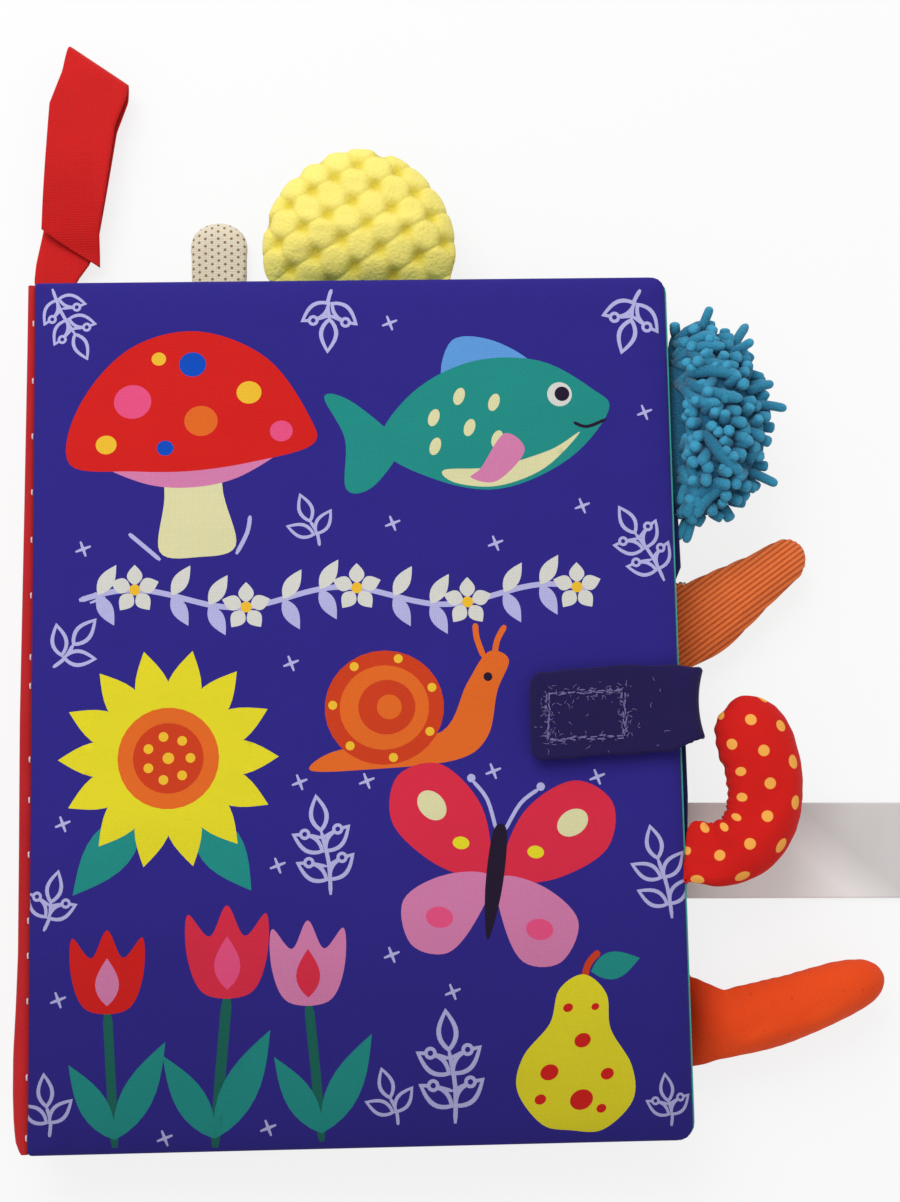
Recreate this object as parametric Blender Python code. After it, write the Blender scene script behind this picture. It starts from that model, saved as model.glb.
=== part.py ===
"""Crinkle cloth book, lying on its back cover. Metres, +Z up.

The origin is at the middle of the back cover's underside: +X runs from the spine to the fore-edge,
+Y up the page and +Z through the closed book. Places below count from the cover's lower spine-side
corner, and the first empty sets them about the middle. Six padded leaves (two covers and four pages)
are sewn into a spine gusset, which folds between them. Each leaf is two cloth panels round a sheet
of crinkle film and a sheet of wadding, and carries one stuffed tail in an edge seam.
"""

import math

import bmesh
import bpy
from mathutils import Matrix, Vector

# Leaves
PAGE_WIDTH = 0.175
PAGE_HEIGHT = 0.235
LEAF_THICKNESS = 0.0046
LEAF_GAP = 0.0003
INNER_PAGE_COUNT = 4
CORNER_RADIUS = 0.006
CLOTH = 0.0007
SEAM_GAP = 0.0003
SEAM_EDGE = 0.0006
SEAM_ALLOWANCE = 0.0012
SWELL_BAND = 0.010
SPINE_SWELL_BAND = 0.024
FORE_EDGE_SLIP = 0.0028
# Share of the swelling band's width, share of the height from seam to crown
SWELL_SHARES = ((0.2, 0.52), (0.5, 0.84), (1.0, 1.0))
# Shares of the page height between which the first page slips out past the cover
SLIP_SPAN_SHARES = (0.10, 0.70)

# Fillings
FILM_THICKNESS = 0.0003
FILLING_INSET = 0.0125
FILLING_GAP = 0.0003

# Spine gusset: one cloth, cut along its fold lines into a band for each leaf
SPINE_REACH = 0.0040
SPINE_CLOTH = 0.0014
SPINE_LEAF_GAP = 0.0003
SPINE_FOLD_GAP = 0.0003

# Stuffed tails: reach past the leaf's edge, widest half width, half thickness
TAIL_ROOT_GAP = 0.0003
TAIL_CLOTH = 0.0008
STUFFING_GAP = 0.0006
TAIL_SECTION_STEPS = 6

SPOTTED_ROOT_Y = 0.0760
SPOTTED_REACH = 0.0330
SPOTTED_RISE = 0.0415
SPOTTED_HALF_WIDTH = 0.0098
SPOTTED_HALF_THICKNESS = 0.0080

CHENILLE_ROOT_Y = 0.1945
CHENILLE_REACH = 0.0270
CHENILLE_HALF_WIDTH = 0.0295
CHENILLE_HALF_THICKNESS = 0.0110

PLUSH_ROOT_X = 0.0897
PLUSH_REACH = 0.0405
PLUSH_HALF_WIDTH = 0.0270
PLUSH_HALF_THICKNESS = 0.0110

ORANGE_ROOT_Y = 0.0305
ORANGE_REACH = 0.0565
ORANGE_RISE = 0.0055
ORANGE_HALF_WIDTH = 0.0120
ORANGE_HALF_THICKNESS = 0.0080

CORDUROY_ROOT_Y = 0.1385
CORDUROY_REACH = 0.0395
CORDUROY_RISE = 0.0195
CORDUROY_HALF_WIDTH = 0.0130
CORDUROY_HALF_THICKNESS = 0.0062

DOTTED_ROOT_X = 0.0487
DOTTED_REACH = 0.0245
DOTTED_HALF_WIDTH = 0.0086
DOTTED_HALF_THICKNESS = 0.0016

# Closure strap, sewn to the back cover and closed over the front cover
STRAP_LOW_Y = 0.1007
STRAP_WIDTH = 0.0238
STRAP_CLOTH = 0.0014
STRAP_ROOT_GAP = 0.0012
STRAP_EDGE_GAP = 0.0024
STRAP_FOLD_DROP = 0.0040
STRAP_FOLD_GAP = 0.0006
STRAP_TAB_LENGTH = 0.0469
STRAP_TIP_LIFT = 0.0010
PATCH_THICKNESS = 0.0008
PATCH_GAP = 0.0003
PATCH_LENGTH = 0.0215
PATCH_WIDTH = 0.0150
PATCH_END_MARGIN = 0.0042

# Hang loop, a folded ribbon sewn into the top of the spine
LOOP_WIDTH = 0.0178
LOOP_REACH = 0.0714
LOOP_CLOTH = 0.0009
LOOP_EYE = 0.0066
LOOP_ROOT_X = 0.0055
LOOP_LEAN = 0.0084
LOOP_TOP_SLANT = 0.0124
LOOP_ROOT_GAP = 0.0003
LOOP_TABLE_GAP = 0.0012

# Blank satin label, sewn to the back cover
LABEL_LOW_Y = 0.0622
LABEL_WIDTH = 0.0268
LABEL_LENGTH = 0.0680
LABEL_CLOTH = 0.0006
LABEL_ROOT_GAP = 0.0003
LABEL_TABLE_GAP = 0.0010
LABEL_STEPS = 6

# Derived places
LEAF_PITCH = LEAF_THICKNESS + LEAF_GAP
BACK_Z = LEAF_THICKNESS / 2
FRONT_Z = BACK_Z + (INNER_PAGE_COUNT + 1) * LEAF_PITCH
COVER_TOP = FRONT_Z + LEAF_THICKNESS / 2
HINGE_X = -SPINE_REACH
PAGE_LEFT = -(SPINE_REACH - SPINE_CLOTH - SPINE_LEAF_GAP)
HALF_HEIGHT = LEAF_THICKNESS / 2
FORE_EDGE = Vector((1, 0))
TOP_EDGE = Vector((0, 1))

INDIGO = (0.030, 0.020, 0.220, 1.0)
NAVY = (0.016, 0.011, 0.092, 1.0)
TEAL = (0.014, 0.265, 0.230, 1.0)
RED = (0.690, 0.010, 0.012, 1.0)
WHITE = (0.800, 0.790, 0.740, 1.0)
FILM = (0.720, 0.760, 0.800, 1.0)
BEIGE = (0.610, 0.500, 0.360, 1.0)
YELLOW = (0.850, 0.680, 0.120, 1.0)
SKY = (0.030, 0.270, 0.480, 1.0)
RUST = (0.680, 0.125, 0.025, 1.0)
ORANGE = (0.890, 0.080, 0.010, 1.0)
SATIN = (0.560, 0.540, 0.530, 1.0)


def clear_scene():
    for item in list(bpy.data.objects):
        bpy.data.objects.remove(item, do_unlink=True)


def make_material(name, colour, roughness):
    material = bpy.data.materials.new(name)
    material.use_nodes = True
    shader = material.node_tree.nodes["Principled BSDF"]
    shader.inputs["Base Color"].default_value = colour
    shader.inputs["Roughness"].default_value = roughness
    shader.inputs["Metallic"].default_value = 0.0
    return material


def make_hinge(name, place, parent=None):
    """An empty on a joint's axis. The pieces that turn about it are its children."""
    hinge = bpy.data.objects.new(name, None)
    bpy.context.scene.collection.objects.link(hinge)
    hinge["place"] = place
    hinge.location = Vector(place)
    if parent is not None:
        hinge.parent = parent
        hinge.location = Vector(place) - Vector(parent["place"])
    return hinge


def add_piece(name, shape, material, hinge):
    """Turns a closed bmesh in world places into the object NAME, carried by the hinge."""
    bmesh.ops.recalc_face_normals(shape, faces=shape.faces)
    if shape.calc_volume(signed=True) < 0:
        bmesh.ops.reverse_faces(shape, faces=shape.faces)
    shape.transform(Matrix.Translation(-Vector(hinge["place"])))
    mesh = bpy.data.meshes.new(name)
    shape.to_mesh(mesh)
    shape.free()
    mesh.shade_smooth()
    mesh.set_sharp_from_angle(angle=math.radians(40))
    mesh.materials.append(material)
    piece = bpy.data.objects.new(name, mesh)
    bpy.context.scene.collection.objects.link(piece)
    piece.parent = hinge
    return piece


def bridge(shape, first, second):
    """Quads between two closed rings of vertices with as many points."""
    for i in range(len(first)):
        j = (i + 1) % len(first)
        shape.faces.new((first[i], first[j], second[j], second[i]))


def ring_of(shape, points, height):
    return [shape.verts.new((x, y, height)) for x, y in points]


def leaf_outline(left, inset, left_inset, slip):
    """A leaf's rounded outline, drawn in by the insets, with the same points at every inset."""
    low_x, high_x = left + left_inset, PAGE_WIDTH - inset
    low_y, high_y = inset, PAGE_HEIGHT - inset
    radius = max(CORNER_RADIUS - inset, SEAM_ALLOWANCE)
    corners = (
        (high_x - radius, low_y + radius, -90),
        (high_x - radius, high_y - radius, 0),
        (low_x + radius, high_y - radius, 90),
        (low_x + radius, low_y + radius, 180),
    )
    points = []
    for number, (x, y, start) in enumerate(corners):
        for step in range(4):
            angle = math.radians(start + 30 * step)
            points.append((x + radius * math.cos(angle), y + radius * math.sin(angle)))
        next_x, next_y, _ = corners[(number + 1) % 4]
        extra = 3 if number in (0, 2) else 1
        angle = math.radians(start + 90)
        for step in range(1, extra + 1):
            share = step / (extra + 1)
            points.append(
                (
                    x + (next_x - x) * share + radius * math.cos(angle),
                    y + (next_y - y) * share + radius * math.sin(angle),
                )
            )
    return [(x + slip * slip_share(x, y), y) for x, y in points]


def slip_share(x, y):
    """1 at the middle of the fore-edge stretch that slips out, 0 outside it and on the spine side."""
    low, high = (share * PAGE_HEIGHT for share in SLIP_SPAN_SHARES)
    if x < PAGE_WIDTH / 2 or not low < y < high:
        return 0.0
    return math.sin(math.pi * (y - low) / (high - low)) ** 2


def leaf_z(number):
    """The height of a leaf's middle: 0 is the front cover, then the pages, then the back cover."""
    return FRONT_Z - number * LEAF_PITCH


def panel_shape(left, centre_z, side, slip):
    """One cloth panel of a leaf: a shallow dish that meets its twin at the seam. Side is 1 or -1."""
    shape = bmesh.new()
    seam, crown = SEAM_GAP / 2, HALF_HEIGHT
    edge = seam + SEAM_EDGE

    def outer_ring(share, height):
        points = leaf_outline(left, share * SWELL_BAND, share * SPINE_SWELL_BAND, slip)
        return ring_of(shape, points, centre_z + side * height)

    def inner_ring(share, height):
        inset = SEAM_ALLOWANCE + share * SWELL_BAND
        left_inset = SEAM_ALLOWANCE + share * SPINE_SWELL_BAND
        points = leaf_outline(left, inset, left_inset, slip)
        return ring_of(shape, points, centre_z + side * height)

    outer = [outer_ring(0.0, seam), outer_ring(0.0, edge)]
    inner = [inner_ring(0.0, seam)]
    for width_share, height_share in SWELL_SHARES:
        height = edge + height_share * (crown - edge)
        outer.append(outer_ring(width_share, height))
        inner.append(inner_ring(width_share, height - CLOTH))
    for rings in (outer, inner):
        for first, second in zip(rings, rings[1:]):
            bridge(shape, first, second)
        shape.faces.new(rings[-1])
    bridge(shape, outer[0], inner[0])
    return shape


def slab_shape(left, low_z, high_z):
    """A flat sheet of filling with the leaf's outline, drawn in clear of the seams."""
    shape = bmesh.new()
    left_inset = FILLING_INSET + SPINE_SWELL_BAND - SWELL_BAND
    points = leaf_outline(left, FILLING_INSET, left_inset, 0.0)
    low, high = ring_of(shape, points, low_z), ring_of(shape, points, high_z)
    bridge(shape, low, high)
    shape.faces.new(low)
    shape.faces.new(high)
    return shape


def add_leaf(name, panel_names, materials, left, centre_z, slip, hinge):
    """Four pieces: the upper and lower panels, with the film over the wadding between them."""
    upper_name, lower_name = panel_names
    upper, lower, film, wadding = materials
    add_piece(f"{name}_{upper_name}", panel_shape(left, centre_z, 1, slip), upper, hinge)
    add_piece(f"{name}_{lower_name}", panel_shape(left, centre_z, -1, slip), lower, hinge)
    hollow = HALF_HEIGHT - CLOTH
    film_top = centre_z + hollow - FILLING_GAP
    film_low = film_top - FILM_THICKNESS
    wadding_top = film_low - FILLING_GAP
    wadding_low = centre_z - hollow + FILLING_GAP
    add_piece(f"{name}_crinkle_film", slab_shape(left, film_low, film_top), film, hinge)
    add_piece(f"{name}_wadding", slab_shape(left, wadding_low, wadding_top), wadding, hinge)


def spine_band_shape(centre_z, side):
    """A leaf's band of the gusset. Side is 0 at a page, and 1 or -1 where it wraps round to a cover."""
    outer, inner = -SPINE_REACH, -(SPINE_REACH - SPINE_CLOTH)
    half = (LEAF_PITCH - SPINE_FOLD_GAP) / 2
    if side == 0:
        section = [(outer, -half), (inner, -half), (inner, half), (outer, half)]
    else:
        lip = SEAM_EDGE + SEAM_GAP / 2
        section = [
            (outer, -half),
            (inner, -half),
            (inner, -lip),
            (-SPINE_LEAF_GAP, -lip),
            (-SPINE_LEAF_GAP, lip),
            (inner, lip + lip / 2),
            (outer + SPINE_CLOTH / 4, lip),
            (outer, 0.0),
        ]
        section = [(x, side * z) for x, z in section]
    shape = bmesh.new()
    low_y, high_y = SEAM_ALLOWANCE, PAGE_HEIGHT - SEAM_ALLOWANCE
    ends = [[shape.verts.new((x, y, centre_z + z)) for x, z in section] for y in (low_y, high_y)]
    bridge(shape, *ends)
    for end in ends:
        shape.faces.new(end)
    return shape


def strip_shape(route, low_y, high_y, cloth):
    """A strip of cloth of even thickness along a route of (x, z) places, from low_y to high_y."""
    sides = offset_sides(route, cloth / 2)
    shape = bmesh.new()
    loop = sides[0] + sides[1][::-1]
    ends = [[shape.verts.new((x, y, z)) for x, z in loop] for y in (low_y, high_y)]
    bridge(shape, *ends)
    close_strip(shape, ends, len(route))
    return shape


def close_strip(shape, ends, count):
    """Quads across a strip's two edge loops, from one side of the cloth to the other."""
    for step in range(count - 1):
        for end in ends:
            back = len(end) - 1 - step
            shape.faces.new((end[step], end[step + 1], end[back - 1], end[back]))


def offset_sides(route, distance):
    """Two lists of points, to the left and the right of a route in a plane."""
    left, right = [], []
    for index, (a, b) in enumerate(route):
        before = route[max(index - 1, 0)]
        after = route[min(index + 1, len(route) - 1)]
        run = math.hypot(after[0] - before[0], after[1] - before[1])
        normal = (-(after[1] - before[1]) / run, (after[0] - before[0]) / run)
        left.append((a + distance * normal[0], b + distance * normal[1]))
        right.append((a - distance * normal[0], b - distance * normal[1]))
    return left, right


def tail_sections(stations, inset, thickness_cut):
    """Rows of points across a tail, seam to seam. Each station is (place, half width, half height)."""
    rows = []
    last = len(stations) - 1
    for index, (place, half_width, half_height) in enumerate(stations):
        before, after = stations[max(index - 1, 0)][0], stations[min(index + 1, last)][0]
        run = (after - before).normalized()
        if index == 0:
            run = FORE_EDGE if run.x > run.y else TOP_EDGE
            place = place + run * inset
        across = Vector((-run.y, run.x))
        if index == last:
            place = place - run * inset
        width = max(half_width - inset, half_width / 4)
        height = max(half_height - thickness_cut, 0.0)
        row = []
        for step in range(TAIL_SECTION_STEPS + 1):
            angle = math.pi * step / TAIL_SECTION_STEPS
            spot = place + across * (width * math.cos(angle))
            row.append((spot.x, spot.y, height * math.sin(angle)))
        rows.append(row)
    return rows


def boundary(grid):
    """The outer loop of a grid of vertices."""
    loop = list(grid[0]) + [row[-1] for row in grid[1:-1]] + list(grid[-1][::-1])
    return loop + [row[0] for row in grid[-2:0:-1]]


def fill_grid(shape, grid):
    for first, second in zip(grid, grid[1:]):
        for a, b, c, d in zip(first, first[1:], second[1:], second):
            shape.faces.new((a, b, c, d))


def tail_half_shape(stations, centre_z, side):
    """A domed half of a tail's cloth, open towards the seam plane where the other half meets it."""
    shape = bmesh.new()
    seam = SEAM_GAP / 2
    grids = []
    for inset, cut in ((0.0, 0.0), (TAIL_CLOTH, TAIL_CLOTH)):
        rows = tail_sections(stations, inset, cut)
        grid = [
            [shape.verts.new((x, y, centre_z + side * (seam + z))) for x, y, z in row]
            for row in rows
        ]
        fill_grid(shape, grid)
        grids.append(grid)
    bridge(shape, boundary(grids[0]), boundary(grids[1]))
    return shape


def stuffing_shape(stations, centre_z):
    """The tail's filling: both domes in one closed body, clear of the cloth."""
    shape = bmesh.new()
    inset = TAIL_CLOTH + STUFFING_GAP
    inner = stations[1:-1]
    rows = tail_sections(inner, inset, inset)
    upper, lower = [], []
    for row in rows:
        seam_ends = [shape.verts.new((x, y, centre_z)) for x, y, _ in (row[0], row[-1])]
        for grid, side in ((upper, 1), (lower, -1)):
            middle = [shape.verts.new((x, y, centre_z + side * z)) for x, y, z in row[1:-1]]
            grid.append([seam_ends[0]] + middle + [seam_ends[1]])
    fill_grid(shape, upper)
    fill_grid(shape, lower)
    for first, second in ((upper[0], lower[0]), (upper[-1], lower[-1])):
        shape.faces.new(first + second[-2:0:-1])
    return shape


def add_tail(name, stations, out, leaf_number, leaf, materials):
    """A tail's three pieces on a hinge at the leaf's seam. Out is the way that the tail leaves it."""
    seam = stations[0][0] - TAIL_ROOT_GAP * out
    centre_z = leaf_z(leaf_number)
    hinge = make_hinge(f"{name}_seam", (seam.x, seam.y, centre_z), leaf)
    front, back, stuffing = materials
    add_piece(f"{name}_front", tail_half_shape(stations, centre_z, 1), front, hinge)
    add_piece(f"{name}_back", tail_half_shape(stations, centre_z, -1), back, hinge)
    add_piece(f"{name}_stuffing", stuffing_shape(stations, centre_z), stuffing, hinge)


def tail_stations(root, out, along, size, shares):
    """Stations of a tail that leaves an edge by OUT. Size is (reach, rise, half width, half thickness)."""
    reach, rise, half_width, half_thickness = size
    start = root + TAIL_ROOT_GAP * out
    return [
        (start + reach * run * out + rise * up * along, wide * half_width, thick * half_thickness)
        for run, up, wide, thick in shares
    ]


def fore_edge_stations(root_y, size, shares):
    return tail_stations(Vector((PAGE_WIDTH, root_y)), FORE_EDGE, TOP_EDGE, size, shares)


def top_edge_stations(root_x, size, shares):
    return tail_stations(Vector((root_x, PAGE_HEIGHT)), TOP_EDGE, FORE_EDGE, size, shares)


# Shares of reach, rise, half width and half thickness at each station, from the seam to the tip
HOOKED_TAIL_SHARES = (
    (0.00, 0.00, 0.95, 0.00),
    (0.10, -0.02, 0.92, 0.35),
    (0.28, -0.03, 0.88, 0.72),
    (0.50, 0.03, 0.92, 0.95),
    (0.64, 0.18, 0.96, 1.00),
    (0.67, 0.36, 1.00, 1.00),
    (0.65, 0.55, 1.02, 1.00),
    (0.62, 0.74, 1.00, 0.94),
    (0.60, 0.87, 0.80, 0.72),
    (0.59, 0.96, 0.50, 0.40),
    (0.58, 1.00, 0.22, 0.00),
)
BALL_TAIL_SHARES = (
    (0.00, 0.00, 0.94, 0.00),
    (0.06, 0.00, 0.97, 0.30),
    (0.18, 0.00, 1.00, 0.64),
    (0.34, 0.00, 0.99, 0.92),
    (0.52, 0.00, 0.90, 1.00),
    (0.70, 0.00, 0.74, 0.92),
    (0.85, 0.00, 0.53, 0.70),
    (0.95, 0.00, 0.32, 0.40),
    (1.00, 0.00, 0.14, 0.00),
)
TAPERED_TAIL_SHARES = (
    (0.00, 0.00, 1.00, 0.06),
    (0.06, -0.08, 0.95, 0.38),
    (0.14, -0.28, 0.78, 0.66),
    (0.24, -0.34, 0.70, 0.90),
    (0.42, -0.02, 0.70, 1.00),
    (0.60, 0.40, 0.72, 1.00),
    (0.78, 0.78, 0.71, 0.96),
    (0.90, 0.96, 0.60, 0.78),
    (0.97, 1.00, 0.38, 0.46),
    (1.00, 1.00, 0.12, 0.16),
)
CURLED_TAIL_SHARES = (
    (0.00, 0.00, 1.00, 0.06),
    (0.08, 0.01, 0.98, 0.42),
    (0.24, 0.09, 0.86, 0.80),
    (0.42, 0.32, 0.74, 1.00),
    (0.58, 0.53, 0.63, 1.00),
    (0.74, 0.74, 0.52, 0.96),
    (0.90, 0.95, 0.42, 0.76),
    (1.00, 1.00, 0.12, 0.18),
)
STUB_TAIL_SHARES = (
    (0.00, 0.00, 1.00, 0.00),
    (0.08, 0.00, 1.00, 0.50),
    (0.35, 0.00, 1.00, 1.00),
    (0.62, 0.00, 0.92, 1.00),
    (0.84, 0.00, 0.66, 0.75),
    (1.00, 0.00, 0.25, 0.00),
)
# Shares of the hang loop's reach and of its eye's height, along one strand
LOOP_EYE_SHARES = (
    (0.00, 0.00),
    (0.08, 0.12),
    (0.20, 0.55),
    (0.34, 0.95),
    (0.55, 1.00),
    (0.80, 1.00),
    (0.92, 0.88),
    (0.98, 0.55),
)
# Shares of the strap's run from its free end to the fold: along it, then of the drop at the fold
STRAP_ROUTE_SHARES = (
    (0.00, 0.0),
    (0.14, 0.0),
    (0.70, 0.0),
    (0.86, 0.12),
    (0.95, 0.38),
    (0.99, 0.70),
    (1.00, 1.0),
)


def spotted_stations():
    size = (SPOTTED_REACH, SPOTTED_RISE, SPOTTED_HALF_WIDTH, SPOTTED_HALF_THICKNESS)
    return fore_edge_stations(SPOTTED_ROOT_Y, size, HOOKED_TAIL_SHARES)


def chenille_stations():
    size = (CHENILLE_REACH, 0.0, CHENILLE_HALF_WIDTH, CHENILLE_HALF_THICKNESS)
    return fore_edge_stations(CHENILLE_ROOT_Y, size, BALL_TAIL_SHARES)


def plush_stations():
    size = (PLUSH_REACH, 0.0, PLUSH_HALF_WIDTH, PLUSH_HALF_THICKNESS)
    return top_edge_stations(PLUSH_ROOT_X, size, BALL_TAIL_SHARES)


def orange_stations():
    size = (ORANGE_REACH, ORANGE_RISE, ORANGE_HALF_WIDTH, ORANGE_HALF_THICKNESS)
    return fore_edge_stations(ORANGE_ROOT_Y, size, TAPERED_TAIL_SHARES)


def corduroy_stations():
    size = (CORDUROY_REACH, CORDUROY_RISE, CORDUROY_HALF_WIDTH, CORDUROY_HALF_THICKNESS)
    return fore_edge_stations(CORDUROY_ROOT_Y, size, CURLED_TAIL_SHARES)


def dotted_stations():
    size = (DOTTED_REACH, 0.0, DOTTED_HALF_WIDTH, DOTTED_HALF_THICKNESS)
    return top_edge_stations(DOTTED_ROOT_X, size, STUB_TAIL_SHARES)


def strap_places():
    """The strap's centre line height over the cover, its wall's x, and the fold's (x, z)."""
    over_z = COVER_TOP + 2 * PATCH_THICKNESS + 3 * PATCH_GAP + STRAP_CLOTH / 2
    wall_x = PAGE_WIDTH + FORE_EDGE_SLIP + STRAP_EDGE_GAP + STRAP_CLOTH / 2
    return over_z, wall_x, (wall_x, over_z - STRAP_FOLD_DROP)


def add_strap(back_hinge, tab_hinge, front_hinge, cloth, patch):
    """The strap's fixed wall, its tab, and the hook and loop patches that close it."""
    over_z, wall_x, fold = strap_places()
    low_y, high_y = STRAP_LOW_Y, STRAP_LOW_Y + STRAP_WIDTH
    root_x = PAGE_WIDTH + STRAP_ROOT_GAP
    bend = STRAP_CLOTH
    wall = [
        (root_x, BACK_Z),
        (wall_x - bend, BACK_Z),
        (wall_x - bend / 4, BACK_Z + bend / 4),
        (wall_x, BACK_Z + bend),
        (wall_x, fold[1] - STRAP_FOLD_GAP),
    ]
    add_piece("strap_base", strip_shape(wall, low_y, high_y, STRAP_CLOTH), cloth, back_hinge)
    run = STRAP_TAB_LENGTH
    tab = [
        (fold[0] - run + along * run, over_z - drop * STRAP_FOLD_DROP)
        for along, drop in STRAP_ROUTE_SHARES
    ]
    tab[0] = (tab[0][0], over_z + STRAP_TIP_LIFT)
    add_piece("strap_tab", strip_shape(tab, low_y, high_y, STRAP_CLOTH), cloth, tab_hinge)
    middle_y = (low_y + high_y) / 2
    low_x = fold[0] - run + PATCH_END_MARGIN
    loop_z = COVER_TOP + PATCH_GAP + PATCH_THICKNESS / 2
    hook_z = loop_z + PATCH_THICKNESS + PATCH_GAP
    for name, height, hinge in (
        ("strap_hook_patch", hook_z, tab_hinge),
        ("cover_loop_patch", loop_z, front_hinge),
    ):
        route = [(low_x, height), (low_x + PATCH_LENGTH, height)]
        sides = (middle_y - PATCH_WIDTH / 2, middle_y + PATCH_WIDTH / 2)
        add_piece(name, strip_shape(route, *sides, PATCH_THICKNESS), patch, hinge)


def hang_loop_route():
    """The ribbon's centre line, as (y, z): out along the table, round the fold and back above."""
    root_y = PAGE_HEIGHT + LOOP_ROOT_GAP
    closed = (LOOP_CLOTH + SEAM_GAP) / 2
    middle_z = loop_middle_z()
    lower = [
        (root_y + LOOP_REACH * out, middle_z - closed - eye * LOOP_EYE / 2)
        for out, eye in LOOP_EYE_SHARES
    ]
    upper = [(y, 2 * middle_z - z) for y, z in reversed(lower)]
    return lower + [(root_y + LOOP_REACH, middle_z)] + upper


def loop_middle_z():
    return LOOP_TABLE_GAP + LOOP_CLOTH + (SEAM_GAP + LOOP_EYE) / 2


def hang_loop_shape():
    """A ribbon folded back on itself, leaning, with a slanting fold and an eye between its strands."""
    route = hang_loop_route()
    sides = offset_sides(route, LOOP_CLOTH / 2)
    loop = sides[0] + sides[1][::-1]
    shape = bmesh.new()
    ends = []
    for side_share in (-0.5, 0.5):
        ring = []
        for y, z in loop:
            out_share = (y - route[0][0]) / LOOP_REACH
            x = LOOP_ROOT_X + side_share * LOOP_WIDTH + LOOP_LEAN * out_share
            ring.append(shape.verts.new((x, y - side_share * LOOP_TOP_SLANT * out_share, z)))
        ends.append(ring)
    bridge(shape, *ends)
    close_strip(shape, ends, len(route))
    return shape


def label_shape():
    """A satin label that leaves the seam level and droops to just over the table."""
    droop = BACK_Z - LABEL_TABLE_GAP - LABEL_CLOTH / 2
    start = PAGE_WIDTH + LABEL_ROOT_GAP
    route = []
    for step in range(LABEL_STEPS + 1):
        share = step / LABEL_STEPS
        fall = share * share * (3 - 2 * share)
        route.append((start + LABEL_LENGTH * share, BACK_Z - droop * fall))
    return strip_shape(route, LABEL_LOW_Y, LABEL_LOW_Y + LABEL_WIDTH, LABEL_CLOTH)


def build():
    clear_scene()
    cover_print = make_material("printed indigo cotton", INDIGO, 0.85)
    page_cloth = make_material("indigo page cotton", INDIGO, 0.88)
    lining = make_material("teal lining cotton", TEAL, 0.88)
    strap_cloth = make_material("navy cotton", NAVY, 0.85)
    red_cloth = make_material("red cotton", RED, 0.85)
    wadding = make_material("polyester wadding", WHITE, 0.95)
    film = make_material("crinkle film", FILM, 0.30)
    backing = make_material("natural dotted cotton", BEIGE, 0.88)
    plush = make_material("yellow dimple plush", YELLOW, 0.95)
    chenille = make_material("blue chenille", SKY, 0.95)
    corduroy = make_material("rust corduroy", RUST, 0.90)
    orange = make_material("orange cotton", ORANGE, 0.80)
    satin = make_material("satin ribbon", SATIN, 0.45)
    patch = make_material("hook and loop tape", NAVY, 0.95)

    middle_y = PAGE_HEIGHT / 2
    back = make_hinge("back_cover_rest", (0.0, 0.0, 0.0))
    back.location = (-PAGE_WIDTH / 2, -middle_y, 0.0)
    hinges = {INNER_PAGE_COUNT + 1: back}
    for number in range(INNER_PAGE_COUNT, -1, -1):
        name = f"page_{number}_axis" if number else "front_cover_axis"
        place = (HINGE_X, middle_y, leaf_z(number) - LEAF_PITCH / 2)
        hinges[number] = make_hinge(name, place, hinges[number + 1])
    front = hinges[0]

    fillings = (film, wadding)
    inward, outward = ("lining", "outer_panel"), ("outer_panel", "lining")
    add_leaf("back_cover", inward, (lining, cover_print) + fillings, 0.0, BACK_Z, 0.0, back)
    add_leaf("front_cover", outward, (cover_print, lining) + fillings, 0.0, FRONT_Z, 0.0, front)
    add_piece("spine_gusset_front_cover", spine_band_shape(FRONT_Z, 1), red_cloth, front)
    add_piece("spine_gusset_back_cover", spine_band_shape(BACK_Z, -1), red_cloth, back)
    for number in range(1, INNER_PAGE_COUNT + 1):
        slip = FORE_EDGE_SLIP if number == 1 else 0.0
        panels = ("front_panel", "back_panel")
        cloths = (page_cloth, page_cloth) + fillings
        hinge = hinges[number]
        add_leaf(f"page_{number}", panels, cloths, PAGE_LEFT, leaf_z(number), slip, hinge)
        band = spine_band_shape(leaf_z(number), 0)
        add_piece(f"spine_gusset_page_{number}", band, red_cloth, hinge)

    tails = (
        ("spotted_tail", spotted_stations(), FORE_EDGE, 0, (red_cloth, red_cloth)),
        ("chenille_tail", chenille_stations(), FORE_EDGE, 1, (chenille, backing)),
        ("plush_tail", plush_stations(), TOP_EDGE, 2, (plush, backing)),
        ("orange_tail", orange_stations(), FORE_EDGE, 3, (orange, orange)),
        ("corduroy_tail", corduroy_stations(), FORE_EDGE, 4, (corduroy, backing)),
        ("dotted_tail", dotted_stations(), TOP_EDGE, 5, (backing, backing)),
    )
    for name, stations, out, number, cloths in tails:
        add_tail(name, stations, out, number, hinges[number], cloths + (wadding,))

    _, _, fold = strap_places()
    tab_hinge = make_hinge("strap_fold", (fold[0], STRAP_LOW_Y + STRAP_WIDTH / 2, fold[1]), back)
    add_strap(back, tab_hinge, front, strap_cloth, patch)

    loop_place = (LOOP_ROOT_X, PAGE_HEIGHT, loop_middle_z() + LOOP_CLOTH + SEAM_GAP / 2)
    loop_hinge = make_hinge("hang_loop_seam", loop_place, back)
    add_piece("hang_loop", hang_loop_shape(), red_cloth, loop_hinge)

    label_hinge = make_hinge("label_seam", (PAGE_WIDTH, LABEL_LOW_Y + LABEL_WIDTH / 2, BACK_Z), back)
    add_piece("blank_label", label_shape(), satin, label_hinge)

    bpy.context.view_layer.update()
    for item in bpy.data.objects:
        if item.type == "EMPTY":
            print(item.name, [round(value, 5) for value in item.matrix_world.translation])


build()
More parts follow.
